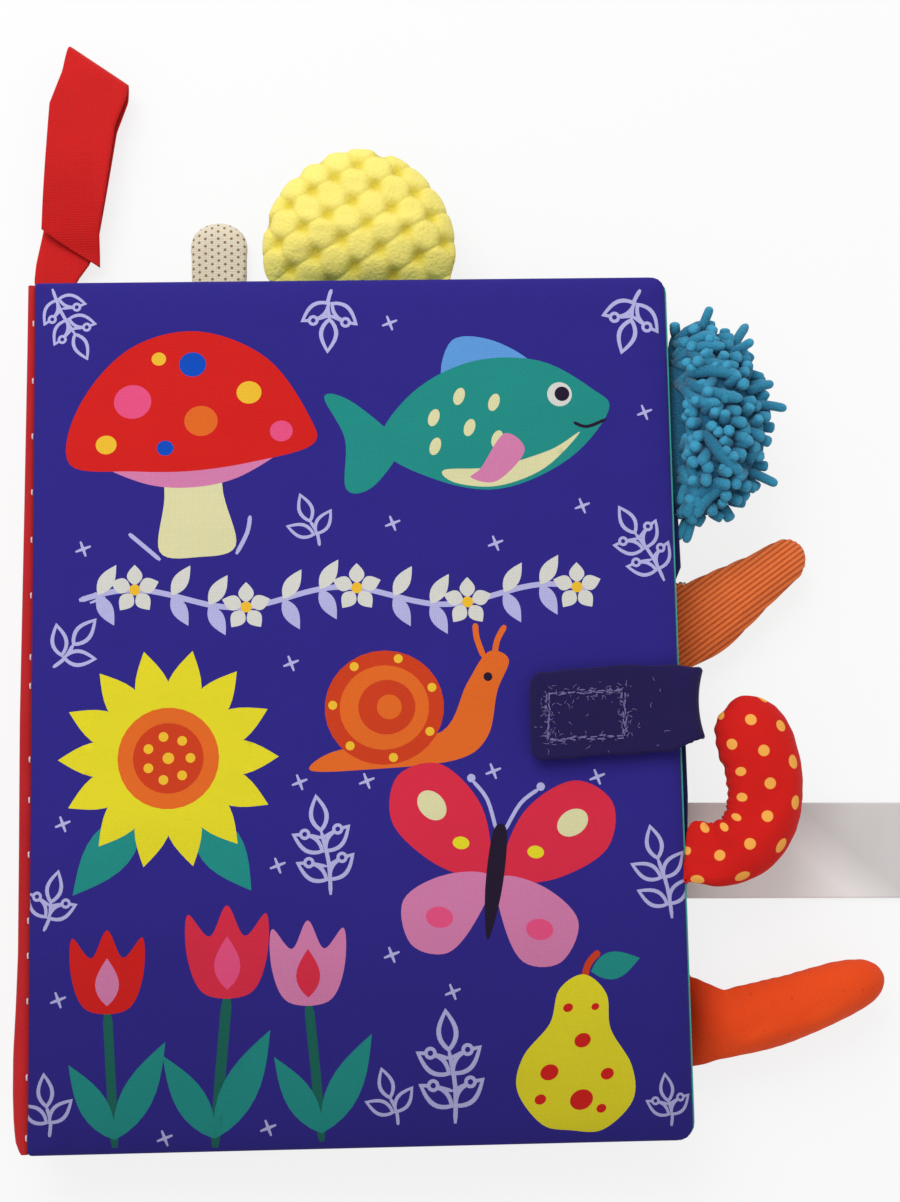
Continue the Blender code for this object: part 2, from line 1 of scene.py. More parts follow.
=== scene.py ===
# %% [markdown]
# # A crinkle cloth book with stuffed tails
# The book lies on its back cover. The CAD model is a fixed frame: its plain panels and tails say
# where each sewn piece goes, and every cell below makes one of them as soft cloth. Lengths are in
# metres, +X runs from the spine to the fore-edge, +Y up the page and +Z through the closed book.

import math

import bmesh
import bpy
import numpy as np
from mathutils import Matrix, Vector
from mathutils.bvhtree import BVHTree
from mathutils.geometry import delaunay_2d_cdt


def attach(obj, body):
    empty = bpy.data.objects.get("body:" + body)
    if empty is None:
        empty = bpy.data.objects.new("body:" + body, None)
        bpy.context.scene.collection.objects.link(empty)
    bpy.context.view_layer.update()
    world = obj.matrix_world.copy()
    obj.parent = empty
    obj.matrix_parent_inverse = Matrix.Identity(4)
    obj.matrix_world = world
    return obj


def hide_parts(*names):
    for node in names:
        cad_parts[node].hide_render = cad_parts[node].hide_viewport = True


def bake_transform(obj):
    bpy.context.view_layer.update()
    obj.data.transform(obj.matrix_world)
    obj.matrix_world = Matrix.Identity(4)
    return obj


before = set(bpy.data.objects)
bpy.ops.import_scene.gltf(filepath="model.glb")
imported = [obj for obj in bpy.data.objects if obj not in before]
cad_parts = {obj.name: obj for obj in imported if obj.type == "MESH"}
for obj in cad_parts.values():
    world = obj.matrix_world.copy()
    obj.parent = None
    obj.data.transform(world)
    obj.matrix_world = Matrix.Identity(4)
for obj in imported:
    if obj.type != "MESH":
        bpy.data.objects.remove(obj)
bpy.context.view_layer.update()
bpy.ops.object.select_all(action="DESELECT")

# %% [markdown]
# ## Camera and light
# The photograph looks almost straight down from half a metre, leaning a little towards the bottom
# edge. The place and turn come from the cover's four corners. The light is one wide soft lamp and
# an even world, so that a colour shows about as it is written.

# %% Camera
MM = 0.001
PHOTO_HEIGHT = 1202
FOCAL_PIXELS = 1866
SENSOR_HEIGHT = 24

camera_data = bpy.data.cameras.new("camera")
camera_data.sensor_fit = "VERTICAL"
camera_data.sensor_height = SENSOR_HEIGHT
camera_data.lens = FOCAL_PIXELS / PHOTO_HEIGHT * SENSOR_HEIGHT
camera = bpy.data.objects.new("camera", camera_data)
camera.location = (0.0097, -0.0363, 0.532)
camera.rotation_euler = [math.radians(turn) for turn in (7.18, -1.69, -1.09)]
bpy.context.scene.collection.objects.link(camera)
bpy.context.scene.camera = camera
bpy.context.scene.view_settings.view_transform = "Standard"
print("camera lens", round(camera_data.lens, 2), "mm")

# %% Light
world = bpy.data.worlds.new("even studio")
bpy.context.scene.world = world
world.use_nodes = True
world.node_tree.nodes["Background"].inputs["Color"].default_value = (1.0, 1.0, 1.0, 1.0)
world.node_tree.nodes["Background"].inputs["Strength"].default_value = 0.62

lamp_data = bpy.data.lights.new("wide soft lamp", "AREA")
lamp_data.size = 0.7
lamp_data.energy = 5.0
lamp = bpy.data.objects.new("wide soft lamp", lamp_data)
lamp.location = (-0.24, 0.58, 0.72)
lamp.rotation_euler = (Vector((0, 0, 0)) - lamp.location).to_track_quat("-Z", "Y").to_euler()
bpy.context.scene.collection.objects.link(lamp)
print("one lamp,", lamp_data.size, "m wide")

# %% [markdown]
# ## Small helpers for shader nodes
# `put` adds a node, sets what it is given and wires it, so that a material reads as a short list.
# Numbers that are the same all over a surface go on the shader's own sockets.

# %% Node helpers
def put(tree, kind, wires=None, **settings):
    """Adds a node. Wires maps an input's name or number to a value or to an output socket."""
    item = tree.nodes.new("ShaderNode" + kind)
    for setting, value in settings.items():
        setattr(item, setting, value)
    for name, value in (wires or {}).items():
        if isinstance(value, bpy.types.NodeSocket):
            tree.links.new(value, item.inputs[name])
        else:
            item.inputs[name].default_value = value
    return item


def new_skin(name, roughness, sheen=0.0, specular=0.15):
    material = bpy.data.materials.new(name)
    material.use_nodes = True
    shader = material.node_tree.nodes["Principled BSDF"]
    shader.inputs["Roughness"].default_value = roughness
    shader.inputs["Sheen Weight"].default_value = sheen
    shader.inputs["Sheen Roughness"].default_value = 0.45
    shader.inputs["Specular IOR Level"].default_value = specular
    return material, material.node_tree, shader


def math_node(tree, operation, first, second=0.0):
    return put(tree, "Math", {0: first, 1: second}, operation=operation).outputs[0]


def mix_colours(tree, share, low, high, blend_type="MIX"):
    wires = {"Factor": share, 6: low, 7: high}
    return put(tree, "Mix", wires, data_type="RGBA", blend_type=blend_type).outputs[2]


def ranged(tree, value, low, high, to_low=0.0, to_high=1.0):
    """Carries a value from between low and high to between two other numbers."""
    wires = {"Value": value, "From Min": low, "From Max": high, "To Min": to_low, "To Max": to_high}
    return put(tree, "MapRange", wires).outputs[0]


def noise(tree, where, scale, detail, distortion=0.0):
    wires = {"Vector": where, "Scale": scale, "Detail": detail, "Distortion": distortion}
    return put(tree, "TexNoise", wires).outputs["Fac"]


def colour_and_bump(tree, shader, colour, height, strength, distance, **under):
    """Gives a shader its colour and its relief, which may lie over a finer one."""
    bump = put(tree, "Bump", {"Height": height, "Strength": strength, "Distance": distance, **under})
    tree.links.new(colour, shader.inputs["Base Color"])
    tree.links.new(bump.outputs[0], shader.inputs["Normal"])


def ink(red, green, blue):
    """A colour given in screen values from 0 to 255, as the linear one that Blender works in."""
    linear = [((v / 255 + 0.055) / 1.055) ** 2.4 if v > 10 else v / 255 / 12.92 for v in (red, green, blue)]
    return (*linear, 1.0)


print("helpers ready")

# %% [markdown]
# ## Dyes
# The cloths are flat-printed or plain-dyed, so a few named colours make the whole book.

# %% Dyes
INDIGO = ink(46, 37, 134)
INDIGO_DEEP = ink(24, 27, 84)
NAVY = ink(38, 29, 88)
TEAL = ink(32, 141, 133)
TEAL_DARK = ink(24, 100, 86)
# A lighter copy of the lining teal, as painted light, for the front lining's edge that lies in shade.
TEAL_PAINTED_LIGHT = ink(74, 178, 166)
RED = ink(212, 30, 26)
CRIMSON = ink(218, 44, 70)
PINK = ink(213, 126, 172)
ROSE = ink(232, 82, 131)
ORANGE = ink(228, 106, 36)
FLAME = ink(206, 62, 28)
YELLOW = ink(230, 217, 40)
AMBER = ink(240, 190, 50)
SKY = ink(94, 154, 219)
BLUE = ink(10, 77, 190)
CREAM = ink(223, 218, 168)
CHALK = ink(216, 215, 208)
LILAC = ink(182, 180, 226)
DARK = ink(34, 22, 46)
print("dyes mixed")

# %% [markdown]
# ## Woven cloth
# Plain cotton is threads going over and under each other. Two crossed sets of bands give the relief
# of the weave, a fine noise gives uneven yarn, and a slow noise shifts the colour a little, as dye and
# handling do. A print reads its dye from a colour attribute on the mesh, face by face, so its edges
# stay sharp at any distance.

# %% Woven cloth
BAND_TURN = 0.314
# Heights up the page, in metres, over which painted shade darkens a cloth towards the leaf's lower edge.
PAINTED_SHADE_LOW, PAINTED_SHADE_HIGH = -0.118, -0.03


def weave_relief(tree, where, pitch):
    """How high the threads stand: two crossed sets of bands and uneven yarn."""
    wires = {"Vector": where, "Scale": BAND_TURN / pitch, "Distortion": 0.6}
    bands = [put(tree, "TexWave", wires, bands_direction=way).outputs["Fac"] for way in ("X", "Y")]
    return math_node(tree, "ADD", math_node(tree, "MAXIMUM", *bands), noise(tree, where, 0.9 / pitch, 3.0))


def cloth(name, dye=None, dye_low=None, pitch=0.0005, roughness=0.9, sheen=0.06, on_surface=False, falloff=0.0):
    """Woven cotton of two near dyes, or with none, one that reads the print on the mesh.

    Painted shade takes a given share of the colour away towards the lower edge of the leaf.
    """
    material, tree, shader = new_skin(name, roughness, sheen)
    where = put(tree, "TexCoord").outputs["UV" if on_surface else "Object"]
    height = weave_relief(tree, where, pitch)
    slow = noise(tree, where, 38.0, 4.0)
    if dye is None:
        base = put(tree, "Attribute", attribute_name="ink").outputs["Color"]
    else:
        base = mix_colours(tree, slow, dye_low, dye)
    # Painted shade, darker towards the lower edge of the leaf.
    if falloff:
        up_page = put(tree, "SeparateXYZ", {"Vector": where}).outputs["Y"]
        kept = ranged(tree, up_page, PAINTED_SHADE_LOW, PAINTED_SHADE_HIGH, 1 - falloff)
        base = mix_colours(tree, 1.0, base, kept, "MULTIPLY")
    # Painted shade and highlight: darker where the threads dip, a little lighter on their crests, and uneven
    # yarn varies it too.
    thread_shaded = mix_colours(tree, 1.0, base, ranged(tree, height, 0.4, 1.8, 0.84, 1.06), "MULTIPLY")
    threads = put(tree, "Bump", {"Height": height, "Strength": 0.35, "Distance": pitch * 0.4}).outputs[0]
    colour_and_bump(tree, shader, thread_shaded, slow, 0.3, 0.0012, Normal=threads)
    return material


printed_cotton = cloth("printed cotton")
# The cover's cotton carries painted shade: 30 % darker at its lower edge.
cover_cotton_painted_shade = cloth("printed cover cotton", falloff=0.3)
navy_cotton = cloth("navy strap cotton", NAVY, ink(30, 22, 70), pitch=0.0008)
print("three woven cloths")

# %% [markdown]
# ## Pieces from points
# `make_piece` turns points and faces into an object at the origin, and `dress` says which body it
# moves with and which CAD nodes it stands for.

# %% Piece helpers
def make_piece(name, points, faces, material):
    mesh = bpy.data.meshes.new(name)
    mesh.from_pydata([tuple(point) for point in points], [], [tuple(face) for face in faces])
    mesh.shade_smooth()
    mesh.materials.append(material)
    piece = bpy.data.objects.new(name, mesh)
    bpy.context.scene.collection.objects.link(piece)
    return piece


def dress(piece, body, slot, *nodes):
    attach(piece, body)
    if nodes:
        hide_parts(*nodes)


def apply_modifiers(piece):
    bpy.ops.object.select_all(action="DESELECT")
    piece.select_set(True)
    bpy.context.view_layer.objects.active = piece
    for modifier in list(piece.modifiers):
        bpy.ops.object.modifier_apply(modifier=modifier.name)
    piece.select_set(False)


def join_shapes(name, shapes, material):
    points, faces = [], []
    for shape_points, shape_faces in shapes:
        base = len(points)
        points += shape_points
        faces += [tuple(base + i for i in face) for face in shape_faces]
    piece = make_piece(name, points, faces, material)
    body = bmesh.new()
    body.from_mesh(piece.data)
    bmesh.ops.recalc_face_normals(body, faces=body.faces)
    body.to_mesh(piece.data)
    body.free()
    return piece


print("piece helpers ready")

# %% Tubes
def way_at(places, index):
    """The way that a line of places runs at one of them."""
    return places[min(index + 1, len(places) - 1)] - places[max(index - 1, 0)]


def ring_faces(rings, sides):
    """The wall of a tube that is made of closed rings."""
    faces = []
    for ring in range(rings - 1):
        for side in range(sides):
            a, b = ring * sides + side, ring * sides + (side + 1) % sides
            faces.append((a, b, b + sides, a + sides))
    return faces


def capped_faces(rings, sides):
    """The wall and both flat ends of a tube that is made of closed rings."""
    ends = [tuple(range(sides))[::-1], tuple((rings - 1) * sides + side for side in range(sides))]
    return ring_faces(rings, sides) + ends


def tube(places, ups, girths, sides):
    """Points and faces of a closed tube along the places, with its own girth at each."""
    points = []
    for index, (place, up, girth) in enumerate(zip(places, ups, girths)):
        ahead = way_at(places, index).normalized()
        across = ahead.cross(up).normalized()
        for angle in [2 * math.pi * side / sides for side in range(sides)]:
            sideways = across * (girth * math.cos(angle))
            points.append(place + sideways + across.cross(ahead) * (girth * math.sin(angle)))
    return points, capped_faces(len(places), sides)


print("tube maker ready")

# %% [markdown]
# ## Drawing the print
# The print is flat shapes in a few inks, like cut paper. Each shape is an outline in millimetres,
# counted from the cover's lower spine-side corner, and later shapes lie over earlier ones. The motifs
# are plain garden ones: toadstool, fish, sunflower, snail, butterfly, tulips, pear and leaf sprigs.

# %% Outlines
PETAL_STEPS = 9


def turned(a, b, x, y, turn):
    """The point (a, b) after a turn in radians about the origin and a move to (x, y)."""
    return x + a * math.cos(turn) - b * math.sin(turn), y + a * math.sin(turn) + b * math.cos(turn)


def oval(colour, x, y, wide, tall, turn=0.0, count=30):
    points = []
    for angle in [2 * math.pi * step / count for step in range(count)]:
        a, b = wide / 2 * math.cos(angle), tall / 2 * math.sin(angle)
        points.append(turned(a, b, x, y, math.radians(turn)))
    return [(colour, points)]


def petal(colour, x, y, length, wide, turn, out=0.0):
    """A pointed leaf that grows the way of turn, in degrees from +X. It starts this far out of (x, y)."""
    turn = math.radians(turn)
    root_x, root_y = turned(out, 0.0, x, y, turn)
    sides = []
    for side, steps in ((-1, range(PETAL_STEPS + 1)), (1, range(PETAL_STEPS - 1, 0, -1))):
        for share in [step / PETAL_STEPS for step in steps]:
            bulge = side * wide / 2 * math.sin(math.pi * share**0.85)
            sides.append(turned(share * length, bulge, root_x, root_y, turn))
    return [(colour, sides)]


print("ovals and petals ready")

# %% Soft curves
BLOB_STEPS = 7


def smooth_run(points, steps, closed=False):
    """A soft curve through the points."""
    count = len(points)
    places = np.array(points, float)
    run = []
    for index in range(count if closed else count - 1):
        ids = [index - 1, index, index + 1, index + 2]
        ids = [i % count for i in ids] if closed else [min(max(i, 0), count - 1) for i in ids]
        p0, p1, p2, p3 = places[ids]
        bend, twist = 2 * p0 - 5 * p1 + 4 * p2 - p3, 3 * p1 - p0 - 3 * p2 + p3
        for t in [step / steps for step in range(steps)]:
            run.append(0.5 * (2 * p1 + (p2 - p0) * t + bend * t**2 + twist * t**3))
    if not closed:
        run.append(places[-1])
    return run


def blob(colour, points):
    return [(colour, [tuple(p) for p in smooth_run(points, BLOB_STEPS, True)])]


def stroke(colour, points, wide, steps=4):
    """A line of even width with tapered ends."""
    run = smooth_run(points, steps)
    left, right = [], []
    for index, place in enumerate(run):
        ahead = way_at(run, index)
        normal = np.array((-ahead[1], ahead[0])) / max(np.hypot(*ahead), 1e-6)
        half = wide / 2 * (0.55 if index in (0, len(run) - 1) else 1.0)
        left.append(tuple(place + half * normal))
        right.append(tuple(place - half * normal))
    return [(colour, right + left[::-1])]


def placed(shapes, x, y, size=1.0, turn=0.0, flip=False):
    moved = []
    for colour, points in shapes:
        spots = [turned(-a if flip else a, b, 0, 0, math.radians(turn)) for a, b in points]
        moved.append((colour, [(x + size * a, y + size * b) for a, b in spots]))
    return moved


print("soft curves ready")

# %% [markdown]
# ### The motifs
# Each one is drawn round its own middle, about as large as the figures of a real cover, 40 to 60 mm.

# %% Toadstool and fish
def dot_ring(colour, x, wide, tall, size, start=0.0):
    """Seven dots on an oval round (x, 0)."""
    dots = []
    for step in range(7):
        angle = 2 * math.pi * step / 7 + start
        dots += oval(colour, x + wide * math.cos(angle), tall * math.sin(angle), size, size)
    return dots


def toadstool():
    brim = [(29, 5), (29, -2), (14, -5), (0, -6), (-14, -5)]
    cap = [(-29, -2), (-26, 12), (-13, 25), (4, 28), (20, 20), *brim]
    shapes = blob(CREAM, [(-6, 3), (-7, -12), (-9, -25), (0, -27), (9, -25), (7, -12), (6, 3)])
    shapes += blob(PINK, [(-23, -1), (-12, -8), (0, -10), (12, -8), (23, -1), (0, -4)]) + blob(RED, cap)
    for colour, x, y, wide in (
        (ROSE, -13, 12, 9), (BLUE, 2, 20, 6.5), (AMBER, 15, 12, 6), (ORANGE, 3, 6, 8), (AMBER, -20, 2, 5),
        (ROSE, 22, 2, 5.5), (AMBER, -6, 22, 3.5), (BLUE, -6, 0, 4),
    ):
        shapes += oval(colour, x, y, wide, wide * 0.92)
    shapes += stroke(LILAC, [(-9, -27), (-13, -23), (-16, -20)], 1.0)
    return shapes + stroke(LILAC, [(9, -27), (12, -22), (13, -18)], 1.0)


def fish():
    body = [(-26, 0), (-16, 11), (0, 16), (16, 13), (27, 4), (30, -2), (18, -12), (0, -16), (-16, -10)]
    shapes = blob(SKY, [(-8, 12), (-4, 22), (6, 20), (14, 12), (4, 9)])
    shapes += blob(TEAL, [(-22, 1), (-31, 12), (-37, 14), (-34, 3), (-36, -9), (-30, -10), (-22, -3)])
    shapes += blob(TEAL, body)
    shapes += blob(CREAM, [(-12, -9), (0, -10.5), (14, -9), (22, -6), (12, -13), (0, -15.2), (-10, -12.5)])
    for x, y in ((-12, 4), (-5, 8), (-4, 0), (3, 5), (2, -4), (-13, -3)):
        shapes += oval(CREAM, x, y, 4.4, 2.6, 60)
    shapes += blob(PINK, [(4, -3), (-3, -10), (-6, -12), (0, -14), (8, -8)])
    shapes += oval(CHALK, 19, 4, 6, 6) + oval(DARK, 19.6, 4, 3.6, 3.6)
    return shapes + stroke(DARK, [(29, -4), (24, -5), (21, -3.4)], 0.8)


print("toadstool and fish drawn")

# %% Sunflower, snail and butterfly
def sunflower():
    shapes = petal(TEAL, -6, -12, 24, 10, 230) + petal(TEAL, 6, -12, 22, 10, 305)
    for step in range(14):
        shapes += petal(YELLOW, 0, 0, 17, 8, 360 / 14 * step, out=8)
    shapes += oval(ORANGE, 0, 0, 23, 23) + oval(FLAME, 0, 0, 16, 16) + dot_ring(AMBER, 0, 5, 5, 2.2)
    return shapes + oval(AMBER, 0, 0, 2.6, 2.6)


def snail():
    foot = [(-19, -11), (-8, -12), (10, -12), (17, -8), (20, 1), (23, 7)]
    shapes = blob(ORANGE, foot + [(19, 9), (14, 3), (8, -6), (-6, -7), (-15, -8)])
    for feeler in ([(20, 7), (21, 11), (23, 14)], [(18, 8), (17, 12), (17, 15)]):
        shapes += stroke(ORANGE, feeler, 1.2)
    shapes += oval(FLAME, -3, 0, 24, 23) + oval(ORANGE, -3, 0, 18, 17) + oval(FLAME, -2.5, 0, 11.5, 11)
    shapes += oval(ORANGE, -2, 0, 5, 5) + dot_ring(AMBER, -3, 10.4, 10.2, 1.8, 0.3)
    return shapes + oval(DARK, 18.4, 4, 1.8, 1.8)


def butterfly():
    shapes = []
    for flip in (False, True):
        wing = blob(CRIMSON, [(1, 0), (5, 15), (16, 24), (26, 20), (26, 9), (16, 1), (5, -2)])
        wing += blob(PINK, [(1, -1), (12, -2), (21, -9), (18, -19), (9, -20), (3, -11)])
        wing += oval(CREAM, 17, 14, 8, 6, 40) + oval(YELLOW, 9, 6, 4, 3) + oval(ROSE, 12, -12, 6.5, 5)
        wing += stroke(LILAC, [(1, 10), (4, 17), (8, 21)], 0.9) + oval(LILAC, 8.4, 21.6, 2, 2)
        shapes += placed(wing, 0, 0, flip=flip)
    return shapes + blob(DARK, [(-1.6, 10), (1.6, 10), (2, -4), (0, -16), (-2, -4)])


print("sunflower, snail and butterfly drawn")

# %% Tulip and pear
def tulip(colour, trim, bend):
    cup = [(-9, 12), (-9, 22), (-4, 17), (0, 24), (4, 17), (9, 22), (9, 12), (5, 4), (-5, 4)]
    shapes = stroke(TEAL_DARK, [(0, -30), (bend / 2, -12), (bend, 4)], 2.4)
    shapes += petal(TEAL, 0, -28, 27, 8, 62) + petal(TEAL, 0, -28, 22, 7, 122)
    shapes += blob(colour, [(bend + x, y) for x, y in cup])
    return shapes + petal(trim, bend, 5, 12, 6, 90)


def pear():
    right = [(7, 16), (9, 6), (16, -4), (17, -14), (9, -23)]
    left = [(-9, -23), (-17, -14), (-16, -4), (-9, 6), (-7, 16)]
    shapes = stroke(FLAME, [(0, 18), (1, 24), (4, 28)], 2.0) + petal(TEAL, 2, 22, 15, 8, 20)
    shapes += blob(YELLOW, [(0, 21), *right, (0, -24), *left])
    for x, y, wide in (
        (-8, -8, 5.5), (2, -15, 7), (9, -7, 4), (1, 2, 5), (-4, 11, 3), (-10, -16, 3.5), (8, -17, 3),
        (4, 12, 2.4),
    ):
        shapes += oval(RED, x, y, wide, wide * 0.8, 30)
    return shapes


print("tulip and pear drawn")

# %% Twigs, crosses and vine
def sprig(ground, pairs=2, berries=True):
    """A drawn twig: outline leaves in pairs up a stem, and small berries on stalks."""
    top = 9 * pairs
    shapes = stroke(LILAC, [(0, 0), (0.8, top / 2), (0, top)], 1.1)
    for y in [4 + 8 * pair for pair in range(pairs)]:
        for turn in (38, 142):
            shapes += petal(LILAC, 0, y, 10.6, 5.4, turn) + petal(ground, 0, y, 7.8, 3.1, turn, out=1.3)
        for side in (-1, 1) if berries else ():
            shapes += stroke(LILAC, [(0, y + 4), (side * 3.6, y + 5.4)], 0.9)
            shapes += oval(LILAC, side * 4.7, y + 5.8, 3.2, 3.2, count=14)
            shapes += oval(ground, side * 4.7, y + 5.8, 1.4, 1.4, count=10)
    shapes += petal(LILAC, 0, top - 0.5, 11, 5.6, 90)
    return shapes + petal(ground, 0, top + 0.9, 8.1, 3.2, 90)


def crosses(spots, size=1.0):
    """Small crosses at the spots."""
    mark = stroke(LILAC, [(-2.2, 0), (2.2, 0)], 0.9, 2) + stroke(LILAC, [(0, -2.2), (0, 2.2)], 0.9, 2)
    return [shape for x, y in spots for shape in placed(mark, x, y, size, 20)]


def vine(width):
    """A wavy stem with leaves and flowers, for the band across the cover."""
    shapes = stroke(LILAC, [(x, 2.6 * math.sin(x / 9.0)) for x in range(0, width + 1, 6)], 1.5)
    for number, x in enumerate(range(5, width, 10)):
        y = 2.6 * math.sin(x / 9.0)
        if number % 3 == 1:
            for turn in range(18, 378, 72):
                shapes += petal(CHALK, x, y, 5.6, 4.2, turn, out=1.2)
            shapes += oval(AMBER, x, y, 3.0, 3.0)
        else:
            shapes += petal(CHALK, x, y, 9.5, 4.2, 58) + petal(LILAC, x, y, 9.5, 4.2, -62)
    return shapes


print("twigs, crosses and vine drawn")

# %% [markdown]
# ### Laying the motifs out
# Figures stand clear of each other on the indigo ground, with twigs at the edges and small marks
# between. The inner pages carry one large figure each on a plain ground.

# %% Layout
COVER_SPRIGS = (
    (5, 233, 0.8, 206, 2, True), (82, 232, 0.95, 176, 1, True), (168, 231, 1.0, 162, 1, True),
    (78, 160, 0.8, 20, 1, False), (172, 149, 0.85, 30, 2, True), (6, 128, 0.9, -42, 1, False),
    (80, 66, 0.95, 8, 2, True), (4, 58, 0.85, -14, 1, True), (112, 6, 1.05, 4, 2, True),
    (171, 58, 0.9, 12, 2, False), (6, 5, 0.85, 6, 1, False), (169, 4, 0.72, 6, 1, True),
    (97, 6, 0.8, 16, 1, False),
)
COVER_CROSSES = (
    (98, 222), (150, 170), (14, 160), (98, 166), (70, 128), (72, 96), (90, 96), (152, 96), (9, 86), (66, 74),
    (96, 50), (112, 40), (8, 40), (63, 6), (36, 4), (126, 160), (168, 196), (18, 146), (124, 98),
)


def cover_print():
    shapes = placed(toadstool(), 43, 188, 1.14, 4) + placed(fish(), 124, 193, 1.14, 10)
    shapes += placed(vine(138), 13, 146) + placed(sunflower(), 37, 103, 1.18)
    shapes += placed(snail(), 99, 116, 1.34, 5) + placed(butterfly(), 124, 71, 1.12, -8)
    shapes += placed(pear(), 145, 25, 0.9, -6)
    shapes += placed(tulip(RED, PINK, -2), 23, 33, 1.04) + placed(tulip(CRIMSON, ROSE, 3), 49, 36, 1.16)
    shapes += placed(tulip(PINK, CRIMSON, -3), 77, 34, 1.06)
    for x, y, size, turn, pairs, berries in COVER_SPRIGS:
        shapes += placed(sprig(INDIGO, pairs, berries), x, y, size, turn)
    return shapes + crosses(COVER_CROSSES)


def page_print(figure, ground):
    shapes = placed(figure, 88, 122, 1.7)
    for x, y, turn in ((20, 20, -20), (150, 24, 20), (22, 190, -12), (150, 196, 14)):
        shapes += placed(sprig(ground), x, y, 1.15, turn)
    return shapes + crosses(((60, 30), (112, 30), (24, 110), (152, 110), (64, 210), (116, 208)), 1.6)


print(len(cover_print()), "shapes on the cover")

# %% [markdown]
# ## Leaves
# A leaf is two cloths sewn round the edge with wadding and a noisy film between, so it is a thin
# cushion: its edge is rounded, it swells in the first 10 mm, and its top waves gently. Small puckers
# run in from the seam, where the thread pulls. One triangulated sheet holds the print's outlines and
# a fine grid, and a height formula lifts every point. A second layer under it closes the cloth.

# %% Leaf form
PAGE_WIDTH, PAGE_HEIGHT = 175.0, 235.0
LEAF_HALF = 2.3
LEAF_PITCH = 4.9
CLOTH = 0.7
SWELL, SPINE_SWELL = 10.0, 24.0
SPINE_RADIUS, FORE_RADIUS = 1.6, 4.6
PAGE_SLIP = (
    (15, 0.0), (44, 0.32), (62, 0.4), (90, 0.9), (112, 0.85), (122, 0.1), (148, 0.05), (153, 1.0), (167, 0.9),
    (176, 0.45), (181, 0.1), (235, 0.0),
)
STRAP_MIDDLE = 112.6
PRESSED_FROM, PRESSED_HALF, PRESSED_FADE = 128, 15, 6.0
GUSSET_REACH = (
    (0, 1.3), (1.2, 2.0), (3.5, 2.8), (8, 3.3), (16, 3.6), (26, 3.6), (38, 3.1), (52, 2.7), (80, 2.7),
    (114, 2.8), (170, 2.2), (215, 1.8), (235, 1.7),
)


def leaf_centre(number):
    """The height of a leaf's seam plane, in millimetres. Number counts leaves from the front cover."""
    return LEAF_HALF + (5 - number) * LEAF_PITCH


def rounded_outline(low_x, high_x, inset, spacing):
    """The leaf's rounded outline as evenly spaced points, anticlockwise, drawn in by the inset."""
    points, centres = [], []
    for x, y, start, radius in (
        (high_x, 0, -90, FORE_RADIUS), (high_x, PAGE_HEIGHT, 0, FORE_RADIUS),
        (low_x, PAGE_HEIGHT, 90, SPINE_RADIUS), (low_x, 0, 180, SPINE_RADIUS),
    ):
        reach = max(radius, inset + 0.3)
        centre_x, centre_y = (x - reach if x == high_x else x + reach), (y - reach if y else reach)
        centres.append((centre_x, centre_y, start, reach - inset))
    for number, (x, y, start, radius) in enumerate(centres):
        for step in range(6):
            points.append(turned(radius, 0.0, x, y, math.radians(start + 90 * step / 5)))
        next_x, next_y, next_start, next_radius = centres[(number + 1) % 4]
        goal = turned(next_radius, 0.0, next_x, next_y, math.radians(next_start))
        last = points[-1]
        count = max(int(math.dist(last, goal) / spacing), 1)
        points += [tuple(p + (q - p) * k / count for p, q in zip(last, goal)) for k in range(1, count)]
    return points


print("leaf outline ready")

# %% Leaf relief
def edge_distance(x, y, low_x, high_x):
    """How far each point lies inside the rectangle's nearest edge."""
    return np.minimum.reduce([x - low_x, high_x - x, y, PAGE_HEIGHT - y])


def leaf_lift(x, y, low_x, high_x):
    """Height of the cloth over the seam plane: a rounded edge, then the swell of the wadding."""
    distance = np.maximum(edge_distance(x, y, low_x, high_x), 0)
    rim = 0.1 + 0.65 * np.sqrt(1 - (1 - np.minimum(distance / 0.8, 1)) ** 2)
    share = np.minimum(np.minimum(distance / SWELL, (x - low_x) / SPINE_SWELL), 1)
    return rim + (LEAF_HALF - 0.75) * (1 - (1 - np.maximum(share, 0)) ** 3)


def waves(x, y, phase):
    """Slow unevenness of wadding and crackling film, between about -1 and 1."""
    total = np.sin(x / 19 + y / 31 + phase) * np.sin(y / 23 - x / 47 + 2 * phase)
    total += 0.5 * np.sin(x / 8.3 - y / 13 + 3 * phase) * np.sin(y / 9.1 + x / 21 + phase)
    return total + 0.3 * np.sin(x / 5.1 + y / 6.7 + 5 * phase) * np.sin(y / 4.3 - x / 7.9)


def puckers(x, y, high_x, phase):
    """Small folds that run in from the seams and die out."""
    total = np.zeros_like(x)
    for distance, along in ((y, x), (PAGE_HEIGHT - y, x), (high_x - x, y)):
        falloff = np.exp(-((distance / 7.0) ** 2)) * np.minimum(distance / 1.5, 1)
        fine = np.sin(along / 1.35 + 2 * np.sin(along / 11 + phase))
        total += falloff * (fine + 0.6 * np.sin(along / 2.9 + phase))
    return total


def gusset_reach(y):
    """How far the gusset stands out beyond the covers, in millimetres, at a height up the page."""
    return np.interp(y, *zip(*GUSSET_REACH))


print("leaf relief ready")

